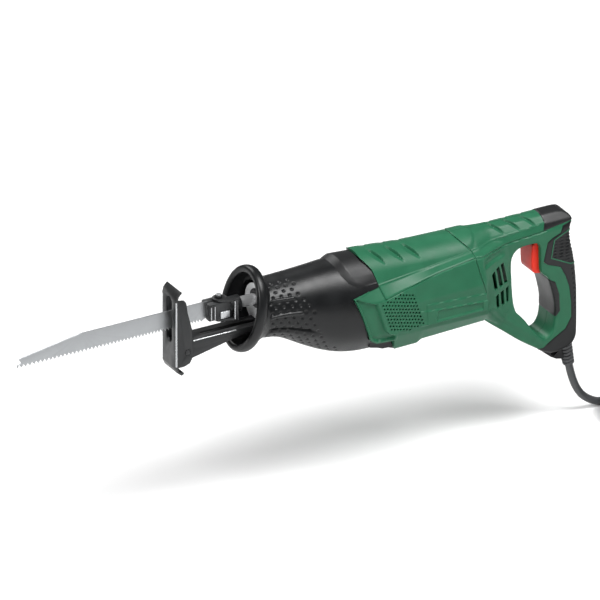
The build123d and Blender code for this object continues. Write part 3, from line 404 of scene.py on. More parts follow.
def baked(holder):
    """Mesh of an object after its modifiers; the object is removed."""
    bpy.context.view_layer.update()
    result = bpy.data.meshes.new_from_object(holder.evaluated_get(bpy.context.evaluated_depsgraph_get()))
    bpy.data.objects.remove(holder)
    return result


def combine(mesh, *steps):
    """Mesh after cuts, given as (operation, other mesh) pairs."""
    target = temporary(mesh)
    helpers = []
    for operation, other in steps:
        helper = temporary(other)
        helpers.append(helper)
        cut = target.modifiers.new("cut", "BOOLEAN")
        cut.operation = operation
        cut.solver = "MANIFOLD"
        cut.object = helper
    result = baked(target)
    for helper in helpers:
        bpy.data.objects.remove(helper)
    return result


def bar_faces(count, first=0):
    """Ends and sides of a bar whose corners are stored one end after the other."""
    last = first + 2 * count
    faces = [tuple(range(first, first + count)), tuple(range(last - 1, first + count - 1, -1))]
    for k in range(first, first + count):
        j = first + (k + 1 - first) % count
        faces.append((k, k + count, j + count, j))
    return faces


def prism(points, low=-80.0, high=80.0):
    """Side-view outline of (x, z) points as a solid between two y limits."""
    corners = [(x, y, z) for y in (low, high) for x, z in points]
    return outward(mesh_from("prism", corners, bar_faces(len(points))))


def bar_along(points, low, high):
    """Section of (y, z) points as a solid between two x limits."""
    corners = [(x, y, z) for x in (low, high) for y, z in points]
    return outward(mesh_from("bar", corners, bar_faces(len(points))))


def cylinders(places, radius, low, high, sides=12):
    """Short round bars along y at (x, z) places, as one mesh."""
    points, faces = [], []
    for cx, cz in places:
        faces += bar_faces(sides, len(points))
        for y in (low, high):
            for k in range(sides):
                a = 2 * pi * k / sides
                points.append((cx + radius * cos(a), y, cz + radius * sin(a)))
    return outward(mesh_from("bars", points, faces))


def side_half(mesh, sign, *cuts):
    """One side of a mesh, from the middle seam outward, after further cuts."""
    limits = (-REACH, -HALF_SEAM) if sign < 0 else (HALF_SEAM, REACH)
    box = [(-300, -REACH), (60, -REACH), (60, 150), (-300, 150)]
    return combine(mesh.copy(), ("INTERSECT", prism(box, *limits)), *cuts)


def shift(points, dx, dz=0.0):
    """Points moved."""
    return [(x + dx, z + dz) for x, z in points]


def shaded(mesh, angle=32.0):
    """Smooth shading that breaks at edges sharper than an angle."""
    work = bmesh.new()
    work.from_mesh(mesh)
    for face in work.faces:
        face.smooth = True
    for edge in work.edges:
        edge.smooth = len(edge.link_faces) == 2 and edge.calc_face_angle(0.0) < radians(angle)
    work.to_mesh(mesh)
    work.free()
    return mesh


def closed_grid(name, rings):
    """Solid from rings of equal length that close round and along."""
    faces = grid_faces(*rings.shape[:2], around=True, along=True)
    return outward(mesh_from(name, rings.reshape(-1, 3), faces))


def shell_solid(outer, inner):
    """Closed wall between two arrays of rings, with the same number of points to a ring."""
    return closed_grid("shell", np.concatenate([outer, inner[::-1]]))


def normals_of(rings):
    """Unit normals of a grid of closed rings."""
    around = np.roll(rings, -1, axis=1) - np.roll(rings, 1, axis=1)
    along = np.gradient(rings, axis=0)
    normal = np.cross(around, along)
    normal /= np.linalg.norm(normal, axis=2, keepdims=True) + 1e-12
    centre = rings.mean(axis=1, keepdims=True)
    if ((rings - centre) * normal).sum() < 0:
        normal = -normal
    return normal


# ---------------------------------------------------------------- motor housing
# top line of the housing, as (x, z)
RIDGE = [(-242, 95.6), (-213, 93.8), (-204, 93.0), (-183, 91.0), (-161, 88.9), (-113, 87.4), (-50, 87.0)]
# creases of the side from the top down, each with stations of x, half width and z
CREASES = [
    [(-242, 26.2, 81.8), (-213, 25.2, 80.2), (-150, 24.0, 76.8), (-104, 23.4, 75.8), (-50, 23.4, 75.6)],
    [(-242, 39.4, 61.6), (-238, 38.6, 62.2), (-213, 31.8, 68.4), (-150, 27.2, 71.8), (-104, 24.0, 75.2),
     (-50, 24.0, 75.2)],
    [(-242, 39.8, 60.4), (-238, 39.2, 61.0), (-221, 41.0, 56.6), (-206, 40.8, 56.0), (-190, 39.9, 59.9),
     (-168, 38.6, 64.3), (-146, 37.0, 68.4), (-107, 34.0, 72.0), (-50, 34.0, 72.2)],
    [(-242, 41.8, 46.0), (-150, 41.6, 46.0), (-50, 40.2, 46.0)],
    [(-242, 41.2, 20.5), (-150, 41.2, 20.5), (-50, 39.6, 20.5)],
    [(-242, 39.6, 15.5), (-150, 39.8, 15.0), (-50, 38.2, 12.5)],
    [(-242, 31.0, -2.6), (-190, 31.5, -2.1), (-168, 32.0, -1.4), (-163, 32.0, 1.6), (-94, 31.0, 3.4),
     (-50, 31.0, 3.4)],
]
SHOULDER_LINE = [(x, z) for x, _, z in CREASES[1]]
# points of the section from one crease to the next
SECTION_STEPS = [34, 16, 16, 24, 28, 8, 20, 26]
RING_STEP = 0.8
HOUSING_WALL = 3.4
COVER_FRONT = [(-218.6, 112), (-218.6, 91.5), (-214.6, 86.8), (-211.4, 82.0), (-209.4, 73), (-208.4, 67.0),
               (-205.6, 56.2)]
SIDE_SEAM = [(-205.6, 56.2), (-190, 59.9), (-168, 64.3), (-146, 68.4), (-107, 72.0)]
REAR_SEAM = [(-116, 110), (-115, 87), (-113.7, 86), (-108.6, 80.5), (-104.5, 75.4), (-105, 69), (-102, 53),
             (-97.6, 36.8), (-96, 24), (-94.5, 5), (-94, -20)]


def body_rings(xs, inset=0.0):
    """Closed sections of the motor housing at the given x positions, and set in by a wall."""
    rings = []
    for x in xs:
        top = curve(RIDGE, x)
        marks = [(float(curve(crease, x, 1)), float(curve(crease, x, 2))) for crease in CREASES]
        half, low = marks[0]
        rise = top - low
        radius = (half * half + rise * rise) / (2 * rise)
        end = np.arcsin(min(1.0, half / radius))
        angle = np.linspace(0, end, SECTION_STEPS[0] + 1)
        across = list(radius * np.sin(angle))
        up = list(top - radius + radius * np.cos(angle))
        corners = marks + [(0.0, marks[-1][1] - 0.8)]
        for (ya, za), (yb, zb), steps in zip(corners, corners[1:], SECTION_STEPS[1:]):
            for k in range(1, steps + 1):
                across.append(ya + (yb - ya) * k / steps)
                up.append(za + (zb - za) * k / steps)
        across, up = np.array(across), np.array(up)
        for _ in range(2):
            across[1:-1] = (across[:-2] + 2 * across[1:-1] + across[2:]) / 4
            up[1:-1] = (up[:-2] + 2 * up[1:-1] + up[2:]) / 4
        ring_y = np.concatenate([-across, across[-2:0:-1]])
        ring_z = np.concatenate([up, up[-2:0:-1]])
        rings.append(np.stack([np.full(ring_y.shape, x), ring_y, ring_z], axis=1))
    rings = np.array(rings)
    if inset:
        rings = rings - normals_of(rings) * inset
    return rings


# details of the side, as (x, z): hollow round the front, its inner edge, two ledges and a blank panel
CHANNEL = [(-237.2, 64.0), (-221.6, 56.8), (-215.4, 54.4), (-211.0, 39.3), (-205.8, 25.0), (-201.2, 19.4),
           (-195.2, 16.8), (-195.2, 11.9), (-213.6, 13.6), (-219.8, 18.0), (-228.6, 41.0)]
INNER_EDGE = [(-214.2, 54.2), (-209.8, 39.3), (-204.6, 25.5), (-200.4, 20.4), (-194.0, 17.9),
              (-193.9, 11.0)]
STEP_ONE = [(-163, 41.6), (-60, 35.3), (-60, 19.4), (-163, 19.4)]
STEP_TWO = [(-170.5, 36.3), (-60, 27.4), (-60, 19.4), (-169, 19.4)]
BLANK_PANEL = [(-151, 33.4), (-101.5, 29.4), (-101.5, 21.6), (-153, 21.8)]
FAR_SIDE_DEPTH = 0.25             # depth of the louvres on the far side, as a part of the near side's
COVER_LOUVRES = (-206.0, -186.3, -168.6)


def crescents(x, y, z, starts, reach, width, deep):
    """Depth of louvre-like cuts across the top: a gentle floor that ends in a steep rear wall."""
    depth = np.zeros(x.shape)
    s = np.abs(y) / reach
    on = (s > 0) & (s < 1) & (z > 70)
    for start in starts:
        wall = start + (13.8 * s - 4.4 * s * s) * reach / 20.0
        taper = np.clip(np.sin(np.pi * np.clip(s, 0, 1)), 0, 1) ** 0.75
        span = width * taper + 0.01
        floor = np.clip((x - (wall - span)) / span, 0, 1)
        rear = 1 - smoothstep(0.0, 0.7, x - wall)
        depth = np.maximum(depth, np.where(on, deep * taper * floor * rear, 0.0))
    return np.where(y > 0, FAR_SIDE_DEPTH * depth, depth)


def housing_relief(x, y, z):
    """Height of the moulded details above the plain section, in millimetres."""
    side = (np.abs(y) > 24) & (z < 78)
    height = -2.6 * depth_in(x, z, CHANNEL, 1.1)
    height += 0.45 * ridge_along(x, z, INNER_EDGE, 1.3) * (z < 56)
    height += 0.9 * depth_in(x, z, STEP_ONE, 1.1) + 0.9 * depth_in(x, z, STEP_TWO, 1.1)
    height -= 1.3 * depth_in(x, z, BLANK_PANEL, 1.2)
    height += 0.5 * ridge_along(x, z, SHOULDER_LINE, 0.9) * (x > -238)
    for seam in (SIDE_SEAM, REAR_SEAM[4:], COVER_FRONT[5:]):
        height -= 0.9 * ridge_along(x, z, seam, 1.0)
    height = np.where(side, height, 0.0)
    barrel = np.abs(y) < 25
    height -= np.where(barrel, 0.8 * ridge_along(x, z, REAR_SEAM[1:5], 0.9), 0.0)
    return height - crescents(x, y, z, COVER_LOUVRES, 22.0, 8.0, 2.8)


housing_xs = np.arange(-241.6, -92.4, RING_STEP)
outer_rings = body_rings(housing_xs)
relief = housing_relief(outer_rings[..., 0], outer_rings[..., 1], outer_rings[..., 2])
outer_rings = outer_rings + normals_of(outer_rings) * relief[..., None]
inner_rings = body_rings(np.linspace(housing_xs[0], housing_xs[-1], 40), HOUSING_WALL)
inner_rings[0, :, 0] = housing_xs[0]
inner_rings[-1, :, 0] = housing_xs[-1]
housing_shell = shell_solid(outer_rings, inner_rings)

COVER_GAP = 0.45
rear_region = REAR_SEAM + [(-60, -20), (-60, 110)]
cover_region = COVER_FRONT + SIDE_SEAM[1:] + [(-104.9, 72.1)] + REAR_SEAM[4:0:-1] + [(-116, 110)]
front_edge = [
    (-218.6, 112), (-218.6, 91.5), (-214.6, 86.8), (-211.6, 82), (-209.8, 73), (-209.2, 69.0),
    (-237.6, 62.6), (-229.6, 41.0), (-221.4, 17.0), (-214.4, 11.9), (-195.2, 10.3), (-191.4, -1.0),
    (-191.4, -20), (-260, -20), (-260, 110),
]
under_cover = [(-219.4, 111), (-219.4, 90), (-208.9, 67.2), (-205.9, 55.8)]
under_cover += shift(SIDE_SEAM[1:], 0, -COVER_GAP) + [(-80, 73.6), (-80, 111)]
cover_mesh = combine(housing_shell.copy(), ("INTERSECT", prism(cover_region)))
lower_mesh = combine(
    housing_shell.copy(), ("DIFFERENCE", prism(under_cover)), ("DIFFERENCE", prism(front_edge)),
    ("DIFFERENCE", prism(shift(rear_region, -COVER_GAP))))

# perforated grille: outline, first hole, steps from row to row and from column to column
GRILLE = [(-211.0, 53.4), (-176.4, 60.4), (-165.6, 25.5), (-166.6, 21.0), (-183, 19.2), (-196.5, 20.6),
          (-200.8, 24.0)]
GRILLE_START = (-213.07, 63.18)
GRILLE_ROW = (1.29, -3.86)
GRILLE_COLUMN = (3.27, -0.81)
GRILLE_RADIUS = 1.08
grille_places = []
for row in range(16):
    for column in range(-8, 16):
        px, pz = (GRILLE_START[k] + GRILLE_ROW[k] * row + GRILLE_COLUMN[k] * column for k in (0, 1))
        if inside(np.array([px]), np.array([pz]), GRILLE)[0]:
            grille_places.append((px, pz))

for sign, side_name in SIDES:
    holes = cylinders(grille_places, GRILLE_RADIUS, *((-50.0, -34.0) if sign < 0 else (34.0, 50.0)))
    node_name = f"motor_housing_{side_name}"
    half_mesh = side_half(lower_mesh, sign, ("DIFFERENCE", holes))
    place(node_name + "_look", shaded(half_mesh), "green_plastic", "housing", [node_name])
place("top_cover_look", shaded(cover_mesh), "green_plastic", "housing", ["top_cover"])

# ---------------------------------------------------------------- nose boot and guard flange
# stations of the nose: x, top, bottom, half width
NOSE = [
    (-340, 86.0, 32.5, 28.0), (-322, 86.4, 32.0, 28.0), (-310, 86.8, 30.0, 29.0), (-300, 87.0, 26.4, 30.0),
    (-284, 87.6, 16.6, 31.8), (-268, 88.3, 7.6, 33.6), (-252, 89.1, 0.2, 36.4), (-236, 89.6, -4.6, 39.0),
    (-220, 89.9, -6.6, 40.0), (-190, 90.0, -6.4, 40.4),
]
NOSE_POINTS = 300
NOSE_WALL = 3.2
GUARD_MIDDLE = (-335.0, 62.5)
GUARD_LEAN = radians(13.5)
GUARD_HALF_DEPTH = 5.2
GUARD_HALF_WIDTH = 31.4
GUARD_HALF_HEIGHT = 38.8
COLLAR_EDGE = [(-246.5, 116), (-246.5, 92), (-245.3, 88.6), (-243.2, 81.6), (-238.6, 75.6), (-232, 71.8),
               (-223, 70.0), (-208, 70.1)]
COLLAR_WALL = 2.4
COLLAR_DROP = 2.4                 # the collar's top stands this much below the cover's
round_angle = np.linspace(0, 2 * np.pi, NOSE_POINTS, endpoint=False)


def nose_sizes(x):
    """Middle height, half height and half width of the nose, eased between its stations."""
    spread = x + np.linspace(-9, 9, 13)
    top, bottom, half = (float(np.mean(curve(NOSE, spread, column))) for column in (1, 2, 3))
    return (top + bottom) / 2, (top - bottom) / 2, half


def nose_ring(x, grow=0.0):
    """Elliptical section of the nose; the angle runs from the top over the left side."""
    middle, high, half = nose_sizes(x)
    return np.stack([
        np.full(NOSE_POINTS, x),
        -(half + grow) * np.sin(round_angle),
        middle + (high + grow) * np.cos(round_angle),
    ], axis=1)


def guard_ring(offset, half, high):
    """Elliptical ring in the guard's leaning plane, moved along its normal."""
    up = high * np.cos(round_angle)
    return np.stack([
        GUARD_MIDDLE[0] + offset * cos(GUARD_LEAN) + up * sin(GUARD_LEAN),
        -half * np.sin(round_angle),
        GUARD_MIDDLE[1] - offset * sin(GUARD_LEAN) + up * cos(GUARD_LEAN),
    ], axis=1)


# rear end of the dimpled area, as (degrees from the top, x)
DIMPLES_END = [(18, -291), (42, -285), (75, -278), (100, -271), (118, -263), (150, -243)]


def dimple_places():
    """Staggered dimples on the nose's side, as (x, degrees from the top)."""
    places = []
    for row in range(14):
        degrees = 18 + 10.0 * row
        rear = curve(DIMPLES_END, degrees)
        for column in range(12):
            x = -320 + 8.5 * column + (4.25 if row % 2 else 0.0)
            if x < rear:
                places.append((x, degrees))
    return places


# ribs and groove of the nose, as (x, degrees from the top)
NOSE_RIBS = [[(-317, 53), (-306, 54), (-296, 54)], [(-321, 86), (-305, 83), (-290, 80)]]
FINGER_GROOVE = [(-328, 115), (-303, 113), (-282, 110), (-272, 112)]


def nose_relief(x, degrees):
    """Height of the dimples, ribs and groove of the nose, in millimetres."""
    side = np.minimum(degrees, 360 - degrees)
    reach = np.interp(x, [-330, -300, -268, -236], [0.49, 0.53, 0.63, 0.75])
    height = np.zeros(x.shape)
    for px, pd in dimple_places():
        away = np.hypot(x - px, (side - pd) * reach)
        height -= 1.0 * (1 - smoothstep(0.6, 1.9, away))
    for rib in NOSE_RIBS:
        away = line_distance(x, side * 0.5, [(px, pd * 0.5) for px, pd in rib])
        height = np.where(away < 2.2, 1.1 * (1 - smoothstep(0.3, 2.0, away)), height)
    below = (side - curve(FINGER_GROOVE, x)) * reach
    fade = 1 - smoothstep(-284, -266, x)
    height -= 1.6 * fade * (1 - smoothstep(0.0, 1.8, np.abs(below)))
    height += 1.3 * fade * smoothstep(0.6, 4.5, below) * (1 - smoothstep(8, 24, below))
    return height


boot_xs = np.arange(-196.0, -322.0, -RING_STEP)
boot_rings = np.array([nose_ring(x) for x in boot_xs])
ring_degrees = np.degrees(np.broadcast_to(round_angle, boot_rings.shape[:2]))
relief = nose_relief(boot_rings[..., 0], ring_degrees)
boot_rings = boot_rings + normals_of(boot_rings) * relief[..., None]
# the nose flares out into the guard's rim, which rolls over into its throat
neck = nose_ring(-322.4)
flare_end = guard_ring(GUARD_HALF_DEPTH, GUARD_HALF_WIDTH, GUARD_HALF_HEIGHT)
funnel = []
for step in range(1, 13):
    t = step / 13
    reach = t * (0.35 + 0.65 * t)
    ring = neck * (1 - reach) + flare_end * reach
    ring[:, 0] = neck[:, 0] * (1 - t) + flare_end[:, 0] * t
    funnel.append(ring)
rim = []
for step in range(17):
    a = pi * step / 16
    swell = sin(a) ** 0.8
    rim.append(guard_ring(
        GUARD_HALF_DEPTH * cos(a), GUARD_HALF_WIDTH + 3.1 * swell, GUARD_HALF_HEIGHT + 3.2 * swell))
for step in range(1, 8):
    a = pi * step / 14
    rim.append(guard_ring(
        -GUARD_HALF_DEPTH + 2.6 * (1 - cos(a)), 31.0 - 3.6 * sin(a), 38.2 - 3.8 * sin(a)))
throat_start, throat_end = guard_ring(2.0, 27.0, 34.0), nose_ring(-311.0, -NOSE_WALL)
throat = [throat_start * (1 - t) + throat_end * t for t in np.linspace(0, 1, 9)]
cavity = [nose_ring(x, -NOSE_WALL) for x in np.linspace(-306.0, boot_xs[0], 30)]
boot_mesh = closed_grid("boot", np.array([*boot_rings, *funnel, *rim, *throat, *cavity]))
collar_region = COLLAR_EDGE + [(-150, 70.1), (-150, 116)]
boot_rear = [
    (-219.0, 112), (-219.0, 91.3), (-215.0, 86.5), (-211.8, 81.6), (-209.8, 73), (-209.6, 68.4),
    (-238.0, 62.2), (-230.0, 40.8), (-221.8, 16.8), (-214.6, 11.3), (-195.8, 9.9), (-150, 10), (-150, 110),
]
FOOT_SIDE = [(-217, 10), (-217, 4.8), (-209, 2.8), (-203.5, 0.6), (-197, 0.2), (-192.2, -1.6), (-192.2, -1),
             (-196.2, 9.4)]
FOOT_HALF_WIDTH = 29.5
# upright screw hole under the nose
screw_hole = cylinders([(-308.0, 0.0)], 3.5, 20.0, 41.0, 24)
for vertex in screw_hole.vertices:
    vertex.co = Vector((vertex.co.x, vertex.co.z, vertex.co.y))
boot_mesh = combine(
    boot_mesh, ("DIFFERENCE", prism(shift(collar_region, 1.6, 1.0))), ("DIFFERENCE", prism(boot_rear)),
    ("UNION", prism(FOOT_SIDE, -FOOT_HALF_WIDTH, FOOT_HALF_WIDTH)), ("DIFFERENCE", outward(screw_hole)))
place("nose_boot_look", shaded(boot_mesh, 40), "black_rubber", "housing", ["nose_boot"])


def collar_rings(xs):
    """Sections of the collar: the cover's section, ramped down to the nose at its front edge."""
    result = []
    for ring in body_rings(xs):
        middle, high, half = nose_sizes(float(ring[0, 0]))
        angle = np.arctan2(ring[:, 1], ring[:, 2] - middle)
        radius = 1 / np.hypot(np.sin(angle) / half, np.cos(angle) / high)
        under = np.stack([ring[:, 0], radius * np.sin(angle), middle + radius * np.cos(angle)], axis=1)
        ring = ring - np.array([0, 0, COLLAR_DROP]) * smoothstep(72, 86, ring[:, 2:3])
        away = line_distance(under[:, 0], under[:, 2], COLLAR_EDGE)
        width = 2.0 + 5.4 * smoothstep(70, 84, under[:, 2])
        on_collar = inside(under[:, 0], under[:, 2], collar_region)
        t = np.where(on_collar, np.clip(away / width, 0, 1), 0.0)[:, None]
        result.append(under * (1 - t) + ring * t + np.array([0, 0, -0.25]) * (1 - t))
    return np.array(result)


collar_xs = np.arange(-250.0, -206.0, 0.7)
collar_outer = collar_rings(collar_xs)
collar_inner = collar_outer - normals_of(collar_outer) * COLLAR_WALL
collar_inner[..., 0] = collar_outer[..., 0]
collar_rear = [(-219.2, 114), (-219.2, 91.2), (-215.2, 86.4), (-212.0, 81.5), (-210.0, 73), (-209.6, 60),
               (-150, 60), (-150, 114)]
collar_mesh = combine(
    shell_solid(collar_outer, collar_inner), ("INTERSECT", prism(collar_region)),
    ("DIFFERENCE", prism(collar_rear)))
place("gearbox_collar_look", shaded(collar_mesh, 24), "black_plastic", "housing", ["gearbox_collar"])

# ---------------------------------------------------------------- handle
HANDLE_OUTLINE = [
    (-96, 87), (-82, 87), (-30, 86.6), (-8, 86), (3, 84.4), (8.6, 81), (10.6, 76.5), (6.4, 71), (6.2, 63),
    (7.4, 54), (9.6, 44), (11.6, 32), (13.1, 18), (14.2, 0), (14.4, -30), (13.8, -46), (9.5, -52.6),
    (0, -56.8), (-12, -58), (-22, -54), (-46, -38), (-68, -20), (-82, -9), (-96, 4),
]
OPENING_OUTLINE = [
    (-57, 50), (-52, 58.4), (-44, 61), (-26, 61), (-25.4, 44), (-25, 28), (-17, 23), (-12.5, 8), (-9, -8),
    (-9, -20), (-11, -33), (-15.5, -39), (-21, -41), (-34, -27), (-42, -15), (-54, -2),
]
CAP_REGION = [(-26, 120), (-20, 80), (-22.4, 72.4), (6.7, 75.8), (40, 80), (40, 120)]
REAR_REGION = [
    (40, 79.4), (6.6, 75.2), (-1.5, 73.0), (-4, 66.5), (-13, 63), (-18, 59.5), (-22.4, 40.4), (-18, 36.3),
    (-4, 30.8), (1.3, 20.3), (5.4, 8), (7.6, -8), (7.8, -24), (1.3, -35), (-10.6, -41.6), (-22.4, -49),
    (-30, -50), (-30, -90), (40, -90),
]
FRONT_REGION = [(-30, 26), (-18, 21.7), (-9.5, 16.4), (-5.2, 2.9), (-4.2, -15), (-10.6, -22.8), (-30, -24)]
TRIGGER_WINDOW = [(-30, 63), (-30, 25.5), (-8, 25.5), (-8, 63)]
LUG_OUTLINE = [(-21, -52.5), (-20, -57), (-7, -68), (-1, -71.4), (6, -73), (9.5, -71), (10, -50)]
INLAY_OUTLINE = [(40, 66.5), (4.9, 66.5), (-10.2, 59.8), (-13.2, 43), (6.8, 33.2), (40, 33.2)]
# width of the handle's root toward the grip, as (x, part of the housing's width)
ROOT_TAPER = [(-128, 1.0), (-97, 0.985), (-90, 0.86), (-82, 0.72), (-70, 0.56), (-58, 0.44)]


def eased(points, rounds=2):
    """Closed outline with its corners cut back, twice as many points each round."""
    points = np.array(points, float)
    for _ in range(rounds):
        after = np.roll(points, -1, axis=0)
        points = np.stack([points * 0.8 + after * 0.2, points * 0.2 + after * 0.8], axis=1).reshape(-1, 2)
    return [tuple(p) for p in points]


def remeshed(mesh, voxel, rounds):
    """Even, smoothed skin over a solid."""
    holder = temporary(mesh)
    remesh = holder.modifiers.new("even", "REMESH")
    remesh.mode = "VOXEL"
    remesh.voxel_size = voxel * MM
    smoothing = holder.modifiers.new("smooth", "SMOOTH")
    smoothing.factor = 0.5
    smoothing.iterations = rounds
    return baked(holder)


def vertex_arrays(mesh):
    """Positions in millimetres and normals of a mesh's vertices."""
    spots = np.empty(len(mesh.vertices) * 3)
    mesh.vertices.foreach_get("co", spots)
    normals = np.empty(len(mesh.vertices) * 3)
    mesh.vertex_normals.foreach_get("vector", normals)
    return spots.reshape(-1, 3) / MM, normals.reshape(-1, 3)


def pushed(mesh, height):
    """Mesh with each vertex moved along its normal, in millimetres."""
    spots, normals = vertex_arrays(mesh)
    moved = spots + normals * np.asarray(height).reshape(-1, 1)
    result = mesh.copy()
    result.vertices.foreach_set("co", (moved * MM).ravel())
    result.update()
    return result


# front view of the grip, as (y, z)
ROOF = [
    (-16.9, -90), (-16.9, 70.5), (-14.6, 78.2), (-8, 84.8), (0, 87.2), (8, 84.8), (14.6, 78.2), (16.9, 70.5),
    (16.9, -90),
]
SKIN_VOXEL = 0.85
SKIN_ROUNDS = 26
HANDLE_WALL = 3.2
SKIN_GAP = 0.25
grip_loop = combine(
    prism(eased(HANDLE_OUTLINE), -20.0, 20.0), ("DIFFERENCE", prism(eased(OPENING_OUTLINE))),
    ("INTERSECT", bar_along(ROOF, -120, 60)))
root_xs = np.arange(-126.0, -57.0, 3.0)
root = body_rings(root_xs)
# the underside of the root runs down toward the grip
drop = np.interp(root_xs, [-126, -93, -82, -70, -57], [0, 0, 8.5, 17.5, 22])[:, None]
root[..., 1] *= curve(ROOT_TAPER, root_xs)[:, None]
root[..., 2] -= drop * np.clip((20.0 - root[..., 2]) / 17.0, 0, 1)
rows, columns = root.shape[:2]
caps = [tuple(range(columns)), tuple(range((rows - 1) * columns, rows * columns))]
root_faces = grid_faces(rows, columns, around=True) + caps
root_mesh = outward(mesh_from("root", root.reshape(-1, 3), root_faces))
handle_skin = remeshed(combine(root_mesh, ("UNION", grip_loop)), SKIN_VOXEL, SKIN_ROUNDS)

GRIP_LOUVRES = (-74.5, -57.5, -40.5)
TOP_EDGE = [(-104, 75.2), (-72, 76.6), (-20, 79.2)]
TOP_SEAM = [(-104, 71.4), (-73, 68.0), (-19, 71.9)]
STRUT = [(-84, 14), (-66, -6), (-44, -25), (-22, -46)]


def handle_relief(x, y, z):
    """Height of the moulded details of the handle, in millimetres."""
    side = np.abs(y) > 8
    top = (z > 74) & (np.abs(y) < 17)
    height = np.zeros(x.shape)
    # louvre cuts over the top bar
    for start in GRIP_LOUVRES:
        s = np.clip(np.abs(y) / 14.5, 0, 1)
        wall = start + 13.0 * s - 1.5 * s * s
        taper = np.sin(np.pi * np.clip(s * 0.9 + 0.1, 0, 1)) ** 0.7
        width = 4.8 * taper + 0.01
        cut = np.clip((x - (wall - width)) / width, 0, 1) * (1 - smoothstep(0.0, 0.9, x - wall))
        height -= np.where(top, np.where(y > 0, 0.6, 2.1) * taper * cut, 0.0)
    # edge above the side and the seam below it
    for line, rise, width in ((TOP_EDGE, 0.55, 1.1), (TOP_SEAM, -1.0, 1.3)):
        height += np.where(side, rise * ridge_along(x, z, line, width), 0.0)
    # finger scoop with a ledge under it
    above = z - 60.5
    scoop = smoothstep(-2.2, 0.6, above) * (1 - smoothstep(1.5, 9.5, above))
    scoop *= smoothstep(-99, -90, x) * (1 - smoothstep(-72, -64, x))
    height -= np.where(side, 2.4 * scoop, 0.0)
    # seam against the housing, and the swelling of the top behind it
    side_seam, top_seam = (ridge_along(x, z, line, 0.9) for line in (REAR_SEAM[4:], REAR_SEAM[1:5]))
    height -= 0.8 * np.where(side, side_seam, top_seam)
    swell = np.hypot((x + 106) / 13.0, y / 24.0)
    height += np.where(z > 74, 0.9 * (1 - smoothstep(0.75, 1.0, swell)), 0.0)
    # ridge down the side of the strut
    height += np.where(side, 0.8 * ridge_along(x, z, STRUT, 5.0), 0.0)
    # inlay of the rear grip: wavy slanting ridges inside a shallow frame
    depth = depth_in(x, z, INLAY_OUTLINE, 1.0)
    waves = np.sin(2 * np.pi * (z + 0.55 * x + 0.5 * np.abs(y) + 1.1 * np.sin(x * 0.9)) / 3.3)
    height += depth * (0.32 * waves - 0.2)
    # rows of dots down the rear of the grip
    dots = np.zeros(x.shape)
    for row in range(9):
        for column in range(2):
            px = 8.2 + 0.65 * row + 4.4 * column - 0.03 * row * row
            pz = 27.0 - 5.2 * row - 2.6 * column
            dots = np.maximum(dots, 1 - smoothstep(0.5, 1.3, np.hypot(x - px, z - pz)))
    height -= np.where(side, 0.7 * dots, 0.0)
    # pad and rear grip stand slightly proud and round off toward the green
    pad = depth_in(x, z, FRONT_REGION, 1.2)
    rear = depth_in(x, z, REAR_REGION, 1.2) * (z > -60)
    cap = depth_in(x, z, CAP_REGION, 1.2)
    return height + 0.45 * np.maximum(np.maximum(pad, rear), cap) - 0.35


spots, _ = vertex_arrays(handle_skin)
handle_outer = pushed(handle_skin, handle_relief(spots[:, 0], spots[:, 1], spots[:, 2]))
handle_hollow = remeshed(pushed(handle_skin, np.full(len(spots), -HANDLE_WALL)), 1.6, 2)


def turned_bar(start, direction, radius, length, sides):
    """Round bar from a point along a direction."""
    bar = cylinders([(0.0, 0.0)], radius, 0.0, length, sides)
    turn = Vector((0, 1, 0)).rotation_difference(direction)
    for vertex in bar.vertices:
        vertex.co = turn @ vertex.co + Vector(start) * MM
    return outward(bar)


# hole for the strain relief and slanting hanging hole of the lug
RELIEF_TILT = radians(11)
relief_axis = Vector((sin(RELIEF_TILT), 0, -cos(RELIEF_TILT)))
relief_hole = turned_bar(Vector((9.2, 0, -52.5)) - relief_axis * 2, relief_axis, 7.5, 40.0, 32)
HANG_MIDDLE = (-1.5, -63.0)
HANG_TILT = radians(36)
HANG_RADIUS = 2.5
HANG_HALF_RUN = 3.5
hang_outline = []
for k in range(24):
    a = 2 * pi * k / 24
    along = HANG_HALF_RUN * (1 if cos(a) > 0 else -1) + HANG_RADIUS * cos(a)
    across = HANG_RADIUS * sin(a)
    hang_outline.append((
        HANG_MIDDLE[0] + along * cos(HANG_TILT) - across * sin(HANG_TILT),
        HANG_MIDDLE[1] + along * sin(HANG_TILT) + across * cos(HANG_TILT),
    ))
handle_wall = combine(
    handle_outer, ("DIFFERENCE", handle_hollow), ("DIFFERENCE", prism(TRIGGER_WINDOW, -11.6, 11.6)),
    ("DIFFERENCE", prism(shift(REAR_SEAM, SKIN_GAP) + [(-160, -20), (-160, 110)])))

# air slots: top front, top rear, bottom rear and bottom front corners
VENTS = [
    [(-87.0, 49.0), (-81.8, 50.6), (-77.4, 30.6), (-82.3, 30.0)],
    [(-79.4, 51.0), (-74.8, 52.4), (-69.2, 30.2), (-74.2, 29.4)],
    [(-72.4, 52.4), (-68.2, 53.4), (-62.8, 31.0), (-67.0, 30.0)],
    [(-79.8, 23.4), (-75.8, 24.4), (-74.0, 9.2), (-77.9, 8.6)],
    [(-72.6, 24.0), (-68.4, 25.2), (-66.4, 9.0), (-70.4, 8.4)],
    [(-65.0, 25.0), (-61.6, 26.0), (-60.8, 9.4), (-63.6, 9.0)],
]
not_green = (CAP_REGION, REAR_REGION, FRONT_REGION, *VENTS)
green_mesh = combine(handle_wall.copy(), *[("DIFFERENCE", prism(outline)) for outline in not_green])
for sign, side_name in SIDES:
    node_name = f"handle_{side_name}"
    half_mesh = side_half(green_mesh, sign)
    place(node_name + "_look", shaded(half_mesh), "green_plastic", "housing", [node_name])


